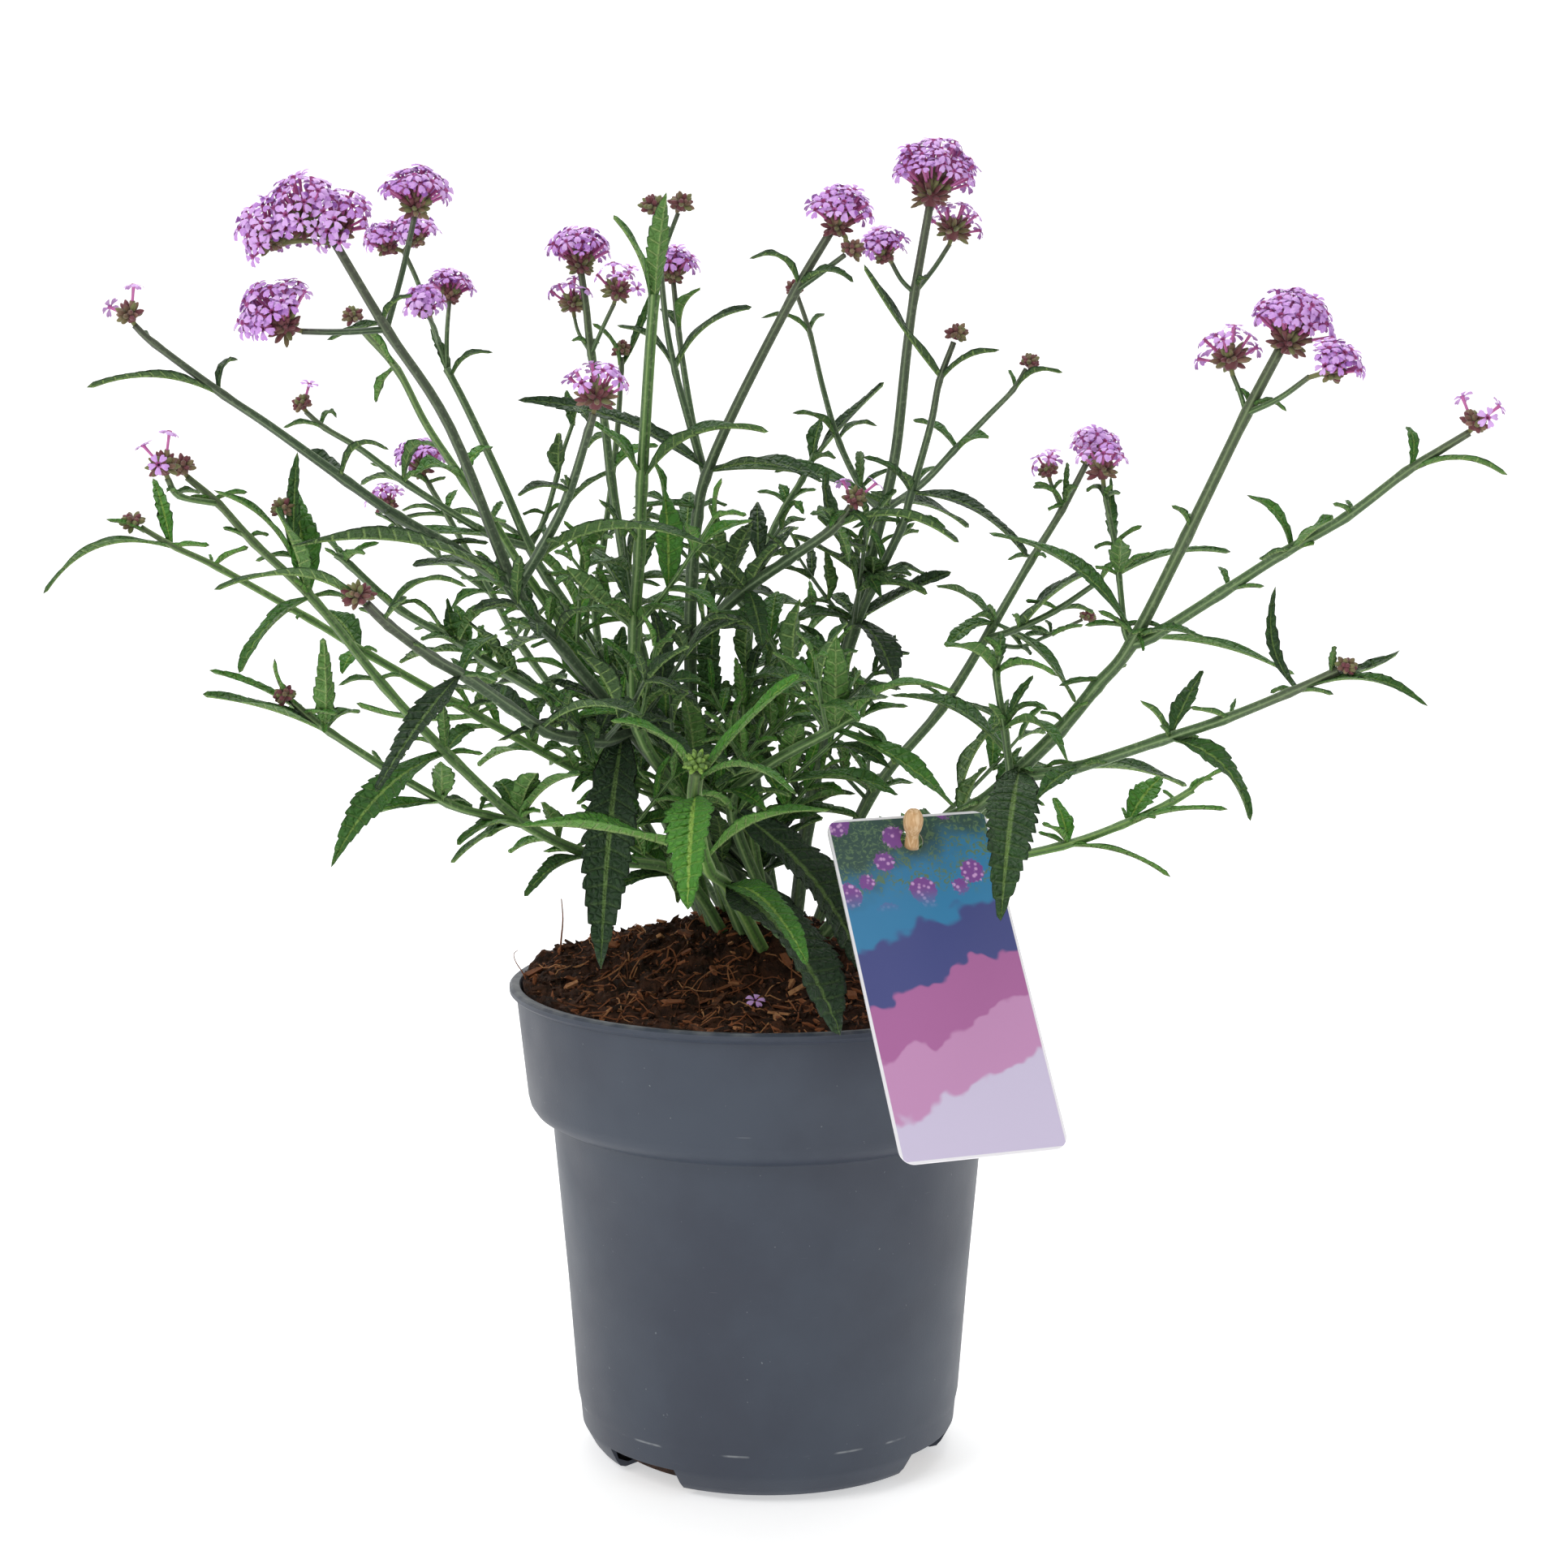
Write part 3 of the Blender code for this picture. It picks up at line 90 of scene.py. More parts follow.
# The label, a card hung on the pick
LABEL_WIDTH = 59
LABEL_LENGTH = 126
LABEL_THICKNESS = 0.8
LABEL_CORNER = 5
LABEL_HOLE_RADIUS = 4.1
LABEL_HOLE_INSET = 9.5
LABEL_HOLE_PLACE = (50, -64.6, 236.8)
LABEL_LEAN = 33
LABEL_SWING = -13.2
LABEL_TURN = 21.4
PICK_FOOT = (47.5, -29.6, 160)
PICK_TOP = (50.5, -70, 248)
PICK_PROFILE = [(0, 0.1), (1.4, 0), (2.3, -0.5), (3.1, -1.9), (3.5, -3.6), (3.4, -5.6), (3.1, -7.2),
                (2.3, -9.2), (2.2, -10.8), (2.5, -13), (2.55, -40)]
PICK_SIDES = 32

# The plant: how its leaves are bent clear of each other, as in the part's source
STALK_CORNER = 1.12
STALK_ROOM_CORNER = 1.2
BLADE_FOLD = 0.3
BLADE_WAVE = 0.09
BLADE_ROOT_WIDTH = 0.9
BLADE_ROOT_DEPTH = 0.2
BLADE_ROLL = 16
BLADE_ROLL_STEP = 2.4
BLADE_CLEARANCE = 0.7
BLADE_ROOM_ABOVE = 1.2
BLADE_ROOM_BELOW = 0.9
# Stations along a blade's room, as shares of its length and width: for all of it, and its outer part
STATIONS = ((0.1, 0.5), (0.3, 1), (0.6, 0.95), (1.02, 0.15))
OUTER_STATIONS = ((0.45, 1), (0.7, 0.9), (1.02, 0.15))
# The bends a leaf may try: its share of length and its tip's moves, and what a move costs
BEND_SHARES = (1, 0.85, 0.7)
BEND_DEPTHS = range(-32, 33, 4)
BEND_HEIGHTS = (0, 5, -5, 10, -10)
HEIGHT_COST = 1.6
SHARE_COST = 70
# A head's room, as (height, radius) in shares of its radius, which is first grown by its kind
HEAD_ROOM_RINGS = ((0.0, 0.2), (0.25, 0.95), (0.7, 1.0), (1.15, 0.75), (1.35, 0.3))
HEAD_ROOM_GROWTH = {"cup": 1.5, "bud": 2.2}
PLAIN_ROOM_GROWTH = 1.12
HEAD_ROOM_LEAN = 0.7
# The domes of a head by its kind: each one's place and radius, in shares of the head's radius
LOBES = {"triple": (((0.05, 0, 0.12), 0.62), ((-0.5, -0.1, 0.02), 0.5), ((0.5, 0.05, -0.06), 0.52)),
         "double": (((-0.42, 0, 0.0), 0.6), ((0.42, 0, 0.06), 0.6))}
PLAIN_LOBE = (((0, 0, 0), 1),)
SEAT_GAP = 0.3
# A direction that no stalk follows, for finding directions across one
ASIDE = (0.3, 1, 0.1)
GOLDEN_TURN = 2.39996
FULL_TURN = 6.28

# One stem of the plant: its shoot, its girth at foot and tip, its route, its leaves and its head
Stem = namedtuple("Stem", "plant girth path leaves head")
# A leaf: the point of the route it grows from, its reach, its width and how far it arches
Leaf = namedtuple("Leaf", "knot reach width arch")
# A head at a stem's tip: its kind, its count of plain florets, its radius and its lean
Head = namedtuple("Head", "kind florets size lean", defaults=((0, 0),))

STEMS = [
    Stem("left_tall", (5.6, 3.0), [
        (-4, -4, 184), (-1, -9, 212), (-33, -20, 250), (-48, -28, 270), (-72, -38, 301),
        (-87, -46, 322), (-108, -56, 378), (-128, -64, 411), (-144, -72, 440)],
        [Leaf(3, (-6, -46, -79), 20, 9), Leaf(3, (-41, -36, -2), 6, 4),
         Leaf(5, (69, -42, 14), 10, 12), Leaf(5, (-68, -46, 14), 12, 8),
         Leaf(5, (-36, 16, 4), 11, 3)],
        Head("triple", 12, 24, (-9, 0))),
    Stem("left_tall", (2.0, 1.8), [
        (-128, -64, 411), (-142, -72, 410), (-154, -80, 410)],
        [],
        Head("full", 6, 14, (-4, 0))),
    Stem("left_tall", (2.0, 1.8), [
        (-128, -64, 411), (-123, -58, 431), (-119, -54, 450)],
        [],
        Head("full", 5, 12)),
    Stem("left_tall", (4.0, 2.0), [
        (-87, -46, 322), (-108, -54, 337), (-126, -60, 348), (-142, -66, 360), (-167, -72, 379),
        (-181, -76, 389), (-203, -80, 406), (-209, -82, 412)],
        [Leaf(3, (19, -18, 9), 4, 7), Leaf(5, (-40, -14, 1), 6, 5)],
        Head("bud", 2, 5.0)),
    Stem("left_tall", (3.4, 2.4), [
        (-87, -46, 322), (-77, -60, 337), (-67, -72, 355), (-59, -84, 377), (-57, -86, 383)],
        [Leaf(2, (-15, -24, -1), 5, 3)],
        Head("cup", 4, 7.5)),
    Stem("left_tall", (4.2, 3.0), [
        (-48, -28, 270), (-57, -44, 269), (-67, -60, 272), (-75, -74, 276), (-86, -90, 286),
        (-98, -104, 297), (-108, -112, 304), (-121, -124, 316), (-127, -130, 323)],
        [Leaf(3, (36, -30, 7), 9, 6), Leaf(3, (-32, 16, 12), 12, 4),
         Leaf(5, (-22, -42, -33), 10, 2), Leaf(7, (-48, -26, 11), 7, 10), Leaf(7, (25, 16, 9), 4, 8)],
        Head("buds", 0, 5.5)),
    Stem("left_back", (4.2, 2.6), [
        (-8, 11, 184), (-38, 26, 251), (-59, 34, 286), (-83, 42, 320), (-90, 44, 332),
        (-101, 48, 357), (-114, 54, 384), (-122, 58, 399)],
        [Leaf(4, (-50, -14, 3), 8, 2), Leaf(4, (-30, 16, 10), 7, 3)],
        None),
    Stem("left_back", (1.9, 1.7), [
        (-122, 58, 399), (-126, 60, 411), (-133, 64, 431), (-139, 66, 444)],
        [],
        Head("double", 8, 15)),
    Stem("left_back", (1.7, 1.6), [
        (-122, 58, 399), (-122, 60, 412), (-122, 70, 425)],
        [],
        Head("full", 5, 9)),
    Stem("left_back", (1.6, 1.5), [
        (-125, 60, 408), (-125, 48, 414), (-127, 38, 419)],
        [],
        Head("full", 4, 8)),
    Stem("left_back", (2.8, 1.7), [
        (-90, 44, 332), (-106, 38, 338), (-134, 32, 356), (-151, 30, 369), (-164, 28, 377),
        (-171, 28, 383)],
        [Leaf(2, (16, -18, 12), 6, 8)],
        Head("bud", 1, 4.2)),
    Stem("left_back", (2.2, 1.4), [
        (-90, 44, 332), (-85, 54, 343), (-81, 62, 358), (-79, 66, 367), (-75, 70, 379)],
        [],
        None),
    Stem("left_slim", (3.4, 2.2), [
        (-11, 3, 184), (-35, 10, 257), (-70, 8, 299), (-85, -2, 321), (-98, -4, 342),
        (-109, -4, 358), (-123, 2, 378), (-134, 8, 398), (-146, 14, 411), (-149, 15, 415)],
        [],
        Head("buds", 0, 4.2)),
    Stem("left_low", (4.6, 2.4), [
        (-11, -8, 184), (-31, -24, 218), (-59, -36, 226), (-84, -50, 240), (-108, -64, 265),
        (-130, -72, 291), (-152, -76, 320), (-172, -78, 340), (-183, -80, 353), (-193, -82, 362)],
        [Leaf(2, (-21, -28, -10), 9, 4), Leaf(3, (-19, -20, -6), 9, 3),
         Leaf(3, (-24, 4, -16), 7, 2), Leaf(3, (23, -26, 19), 9, 4),
         Leaf(4, (-34, -36, -34), 13, 7), Leaf(4, (7, 24, 5), 8, 2), Leaf(6, (-8, 16, 37), 12, 3),
         Leaf(6, (-7, -18, 28), 11, 2), Leaf(6, (-20, -20, -24), 10, 4)],
        Head("bud", 0, 4.8)),
    Stem("left_low", (2.0, 1.8), [
        (-183, -80, 353), (-194, -90, 356), (-197, -94, 362)],
        [Leaf(1, (11, -26, 28), 5, 2)],
        Head("bud", 3, 6.0)),
    Stem("left_low", (1.8, 1.6), [
        (-152, -76, 320), (-159, -74, 334), (-162, -74, 348)],
        [Leaf(1, (-24, -12, 22), 5, 4), Leaf(1, (2, 4, 34), 6, 1)],
        Head("buds", 0, 4.2)),
    Stem("left_low", (3.2, 2.0), [
        (-84, -50, 240), (-97, -60, 245), (-109, -68, 250), (-128, -78, 263), (-146, -88, 277),
        (-153, -90, 283), (-158, -92, 288)],
        [Leaf(2, (-32, -16, -6), 7, 2), Leaf(4, (2, -12, 31), 8, -4),
         Leaf(4, (-37, -16, 13), 8, 2), Leaf(5, (-32, 6, 13), 4, 2)],
        Head("buds", 0, 4.0)),
    Stem("left_arm", (4.0, 2.0), [
        (-17, -3, 184), (-36, -14, 243), (-65, -26, 255), (-100, -38, 276), (-139, -48, 300),
        (-158, -50, 312), (-189, -52, 330), (-203, -54, 337), (-215, -54, 344)],
        [Leaf(3, (-44, 18, 2), 6, -3), Leaf(3, (14, -16, 18), 7, 3), Leaf(4, (-14, 18, 12), 10, 2),
         Leaf(7, (-41, -12, -16), 7, 9), Leaf(7, (-8, 12, 22), 6, 2)],
        Head("buds", 0, 4.4)),
    Stem("left_mid", (3.6, 2.6), [
        (-18, 6, 184), (-47, 14, 249), (-80, 18, 276), (-105, 22, 291), (-113, 22, 297),
        (-136, 20, 310), (-154, 16, 327), (-159, 15, 331)],
        [Leaf(2, (10, -26, 10), 9, 3), Leaf(2, (13, 12, -27), 18, 4), Leaf(4, (18, -16, 16), 8, 3)],
        None),
    Stem("front_tall", (4.4, 3.4), [
        (-5, -12, 184), (-26, -32, 239), (-45, -44, 273), (-46, -46, 308), (-44, -48, 335),
        (-43, -50, 358), (-40, -54, 400), (-38, -56, 423)],
        [Leaf(3, (-22, -14, 19), 12, -2), Leaf(5, (-16, -8, 18), 9, 2),
         Leaf(5, (43, -20, 15), 12, 8), Leaf(7, (-13, -4, 29), 8, 3), Leaf(7, (5, -12, 36), 9, 1)],
        None),
    Stem("centre", (5.0, 2.6), [
        (2, 3, 184), (-21, 0, 238), (-27, 0, 263), (-28, -4, 301), (-27, -8, 326), (-25, -11, 346),
        (-22, -14, 360), (-11, -20, 385), (10, -28, 425), (22, -32, 445)],
        [Leaf(3, (54, -24, -11), 12, 7), Leaf(3, (-12, 25, 6), 9, 3),
         Leaf(6, (40, -20, -4), 10, 5), Leaf(6, (65, 22, -14), 11, 6),
         Leaf(6, (-70, 28, 24), 9, 6), Leaf(8, (18, -18, 0), 6, 5)],
        Head("full", 7, 12, (2, 0))),
    Stem("centre", (1.8, 1.6), [
        (10, -28, 425), (20, -34, 432), (27, -38, 437)],
        [],
        Head("buds", 0, 4.4)),
    Stem("centre", (2.8, 1.8), [
        (-22, -14, 360), (-26, -4, 375), (-29, 2, 391), (-32, 6, 411), (-34, 8, 430)],
        [],
        Head("full", 5, 9)),
    Stem("centre", (2.6, 1.6), [
        (-24, -12, 366), (-29, -22, 385), (-32, -28, 397), (-35, -30, 413), (-37, -30, 433),
        (-39, -30, 450)],
        [Leaf(2, (27, -8, 20), 7, 5), Leaf(2, (-20, 4, 14), 4, 4)],
        Head("buds", 0, 5.0)),
    Stem("centre", (1.5, 1.5), [
        (-37, -30, 435), (-34, -26, 444), (-31, -24, 452)],
        [],
        Head("buds", 0, 4.6)),
    Stem("centre", (3.8, 2.6), [
        (-28, -4, 301), (-9, -30, 320), (7, -42, 332), (22, -54, 343), (29, -60, 351)],
        [Leaf(1, (-24, -22, 17), 9, 3), Leaf(1, (16, 8, 21), 9, 1), Leaf(1, (10, -16, 16), 8, 2),
         Leaf(1, (5, -16, -19), 8, 2), Leaf(3, (41, -20, 0), 9, 7)],
        Head("bud", 2, 4.6)),
    Stem("right_tall", (5.0, 2.8), [
        (9, 10, 184), (15, 20, 232), (23, 26, 271), (32, 30, 302), (38, 33, 327), (43, 36, 346),
        (48, 40, 369), (52, 46, 405), (55, 50, 427), (61, 55, 461)],
        [Leaf(3, (34, -14, 18), 11, 1), Leaf(3, (-31, 10, -9), 10, 6),
         Leaf(3, (14, -26, -24), 15, 5), Leaf(5, (33, 30, -11), 8, 4)],
        Head("full", 10, 18)),
    Stem("right_tall", (1.6, 1.5), [
        (55, 50, 427), (50, 50, 432), (46, 50, 439)],
        [],
        Head("full", 5, 9, (-2, -3))),
    Stem("right_tall", (1.7, 1.6), [
        (55, 50, 427), (63, 60, 437), (69, 66, 446)],
        [],
        Head("cup", 4, 7.5)),
    Stem("right_tall", (3.2, 1.9), [
        (32, 30, 302), (38, 20, 317), (49, 12, 341), (52, 9, 352), (59, 4, 378), (62, 2, 394),
        (67, 0, 408)],
        [Leaf(1, (-30, -16, 19), 8, 2), Leaf(3, (41, -13, -23), 10, 6),
         Leaf(5, (-28, -8, 39), 8, -1)],
        Head("buds", 0, 4.2)),
    Stem("right_tall", (2.6, 1.5), [
        (43, 36, 346), (58, 44, 356), (70, 50, 368), (83, 54, 381), (93, 58, 391), (98, 60, 399)],
        [],
        Head("buds", 0, 3.8)),
    Stem("right_tall", (2.8, 1.7), [
        (43, 36, 346), (36, 44, 353), (27, 52, 371), (21, 58, 391), (16, 62, 412), (11, 66, 427)],
        [],
        Head("buds", 0, 3.8)),
    Stem("right_back", (4.0, 2.2), [
        (15, 17, 184), (38, 40, 236), (67, 62, 269), (87, 76, 299), (103, 90, 324), (116, 98, 344),
        (126, 104, 362)],
        [Leaf(2, (24, -12, -9), 7, 3), Leaf(3, (-22, 14, 13), 7, 4), Leaf(3, (30, -16, -30), 9, 5),
         Leaf(3, (-20, -20, -8), 9, 3)],
        Head("full", 6, 11, (2, 0))),
    Stem("right_back", (1.4, 1.3), [
        (116, 98, 344), (113, 98, 351), (111, 98, 356)],
        [],
        Head("cup", 2, 4.5)),
    Stem("right_back", (2.6, 1.8), [
        (85, 74, 295), (95, 66, 299), (110, 58, 307), (127, 48, 320)],
        [Leaf(1, (26, -26, 24), 13, 3)],
        None),
    Stem("right_back", (1.8, 1.5), [
        (85, 75, 294), (98, 82, 291), (110, 88, 295), (124, 92, 301)],
        [],
        Head("buds", 0, 3.4)),
    Stem("right_arm", (5.2, 3.0), [
        (13, -6, 184), (51, -26, 230), (73, -42, 245), (85, -52, 257), (101, -58, 274),
        (113, -64, 290), (124, -70, 305), (141, -78, 342), (159, -86, 383), (169, -90, 404)],
        [Leaf(3, (-11, -66, -41), 19, 9), Leaf(3, (-44, 16, 24), 11, 8),
         Leaf(6, (-48, 26, 33), 9, 8), Leaf(6, (55, 8, -14), 7, 4), Leaf(6, (19, -26, 1), 5, 3)],
        Head("full", 9, 15, (2, 0))),
    Stem("right_arm", (1.5, 1.4), [
        (159, -86, 383), (157, -84, 390), (155, -80, 396)],
        [],
        Head("cup", 4, 7.0)),
    Stem("right_arm", (1.8, 1.6), [
        (159, -86, 383), (168, -96, 388), (176, -106, 395)],
        [],
        Head("full", 5, 9, (6, -3))),
    Stem("right_arm", (3.6, 2.2), [
        (124, -70, 305), (131, -72, 308), (153, -78, 323), (173, -84, 337), (192, -90, 349),
        (210, -96, 364), (220, -100, 371), (229, -103, 377)],
        [Leaf(5, (28, -12, -2), 4, 5)],
        Head("bud", 3, 5.0)),
    Stem("right_arm", (2.2, 1.5), [
        (124, -70, 305), (122, -68, 310), (121, -58, 327), (120, -54, 337), (117, -50, 353),
        (116, -50, 359)],
        [Leaf(2, (41, 18, 6), 5, 4), Leaf(3, (0, 10, 24), 5, -6)],
        Head("cup", 3, 6.0)),
    Stem("right_arm", (2.6, 2.0), [
        (85, -52, 257), (82, -64, 274), (78, -74, 295), (79, -78, 302)],
        [Leaf(1, (19, -28, -8), 8, 8), Leaf(2, (-19, -18, 10), 9, 3)],
        None),
    Stem("right_arm", (3.8, 2.4), [
        (85, -52, 257), (105, -66, 262), (133, -84, 274), (152, -94, 282), (172, -104, 292),
        (187, -110, 300)],
        [Leaf(1, (37, 8, -8), 9, 3), Leaf(2, (12, 10, 21), 8, 1), Leaf(2, (25, -14, -26), 11, 7),
         Leaf(4, (-6, 8, 33), 5, -8), Leaf(4, (40, -14, -4), 6, 7), Leaf(5, (23, 6, 7), 6, -2)],
        Head("buds", 0, 3.8)),
    Stem("right_low", (3.4, 2.4), [
        (19, 5, 184), (53, 22, 210), (78, 36, 212), (113, 50, 217), (137, 58, 224), (156, 62, 232),
        (165, 64, 237)],
        [Leaf(3, (40, 6, -14), 5, 4), Leaf(4, (15, 14, 16), 11, 2), Leaf(4, (37, -8, 6), 5, 3)],
        None),
    Stem("front", (5.0, 4.2), [
        (1, -19, 184), (-13, -44, 216), (-21, -64, 228), (-24, -86, 253), (-23, -96, 265)],
        [Leaf(1, (28, -72, -14), 14, 8), Leaf(2, (-59, -46, 18), 18, 4),
         Leaf(2, (42, -20, 19), 9, 6), Leaf(3, (-1, -50, -30), 18, 8), Leaf(3, (12, 20, -9), 6, 3),
         Leaf(4, (-26, -16, 26), 7, 6), Leaf(4, (34, -22, 37), 10, 2), Leaf(4, (33, -38, 0), 6, 8)],
        Head("buds", 0, 5.0)),
    Stem("front_right", (4.0, 3.0), [
        (10, -15, 184), (-12, -34, 240), (-4, -42, 257), (21, -52, 273), (30, -56, 279)],
        [Leaf(3, (0, -14, 34), 11, -8), Leaf(3, (41, -10, -26), 12, 3), Leaf(4, (36, -24, 12), 8, 8)],
        None),
    Stem("centre_low", (3.6, 2.6), [
        (4, -9, 184), (-5, -18, 228), (-9, -20, 260), (-8, -22, 279)],
        [Leaf(1, (38, -2, 7), 14, 6), Leaf(1, (-22, -26, 13), 8, 3), Leaf(2, (15, -20, -17), 8, 3),
         Leaf(3, (-3, -14, 21), 5, 1)],
        None),
    Stem("back_slim", (3.4, 2.4), [
        (5, 22, 184), (-7, 56, 261), (-7, 72, 304), (0, 82, 332), (6, 86, 345), (13, 90, 356),
        (18, 92, 366)],
        [Leaf(2, (-21, 18, 3), 9, 4), Leaf(2, (24, 12, -1), 9, 3), Leaf(6, (28, 0, 30), 8, 1)],
        None),
    Stem("back_left", (4.2, 2.6), [
        (-3, 18, 184), (-35, 46, 253), (-49, 58, 292), (-54, 66, 315), (-61, 76, 357),
        (-64, 82, 380), (-69, 87, 405), (-71, 89, 423), (-73, 90, 437)],
        [Leaf(3, (30, 4, -5), 9, 4), Leaf(3, (-20, 14, -8), 9, 3), Leaf(4, (-19, 16, -15), 6, 2)],
        Head("full", 6, 13)),
    Stem("back_left", (1.4, 1.3), [
        (-69, 87, 405), (-74, 90, 413), (-76, 92, 420)],
        [],
        Head("cup", 3, 6.0)),
    Stem("back_left", (1.6, 1.5), [
        (-69, 87, 405), (-64, 80, 415), (-59, 72, 424)],
        [],
        Head("cup", 3, 6.5)),
    Stem("back_bud", (3.2, 1.9), [
        (-10, 26, 184), (-54, 84, 248), (-69, 100, 298), (-66, 106, 330), (-61, 112, 370),
        (-59, 116, 399), (-59, 117, 404)],
        [Leaf(5, (11, 6, 28), 5, -2)],
        Head("buds", 0, 4.2)),
    Stem("back_far_left", (3.4, 1.8), [
        (-18, 16, 184), (-59, 66, 241), (-97, 92, 289), (-110, 100, 310), (-128, 110, 340),
        (-136, 114, 353), (-139, 116, 358)],
        [Leaf(2, (-20, 14, -17), 8, 4), Leaf(2, (17, 4, 19), 7, 3), Leaf(3, (9, 20, 16), 6, 3),
         Leaf(4, (-24, 2, -6), 3, 3)],
        Head("full", 5, 11)),
    Stem("back_far_left", (1.6, 1.3), [
        (-110, 100, 310), (-130, 104, 324), (-145, 106, 335), (-151, 106, 342)],
        [],
        Head("cup", 3, 5.0)),
]

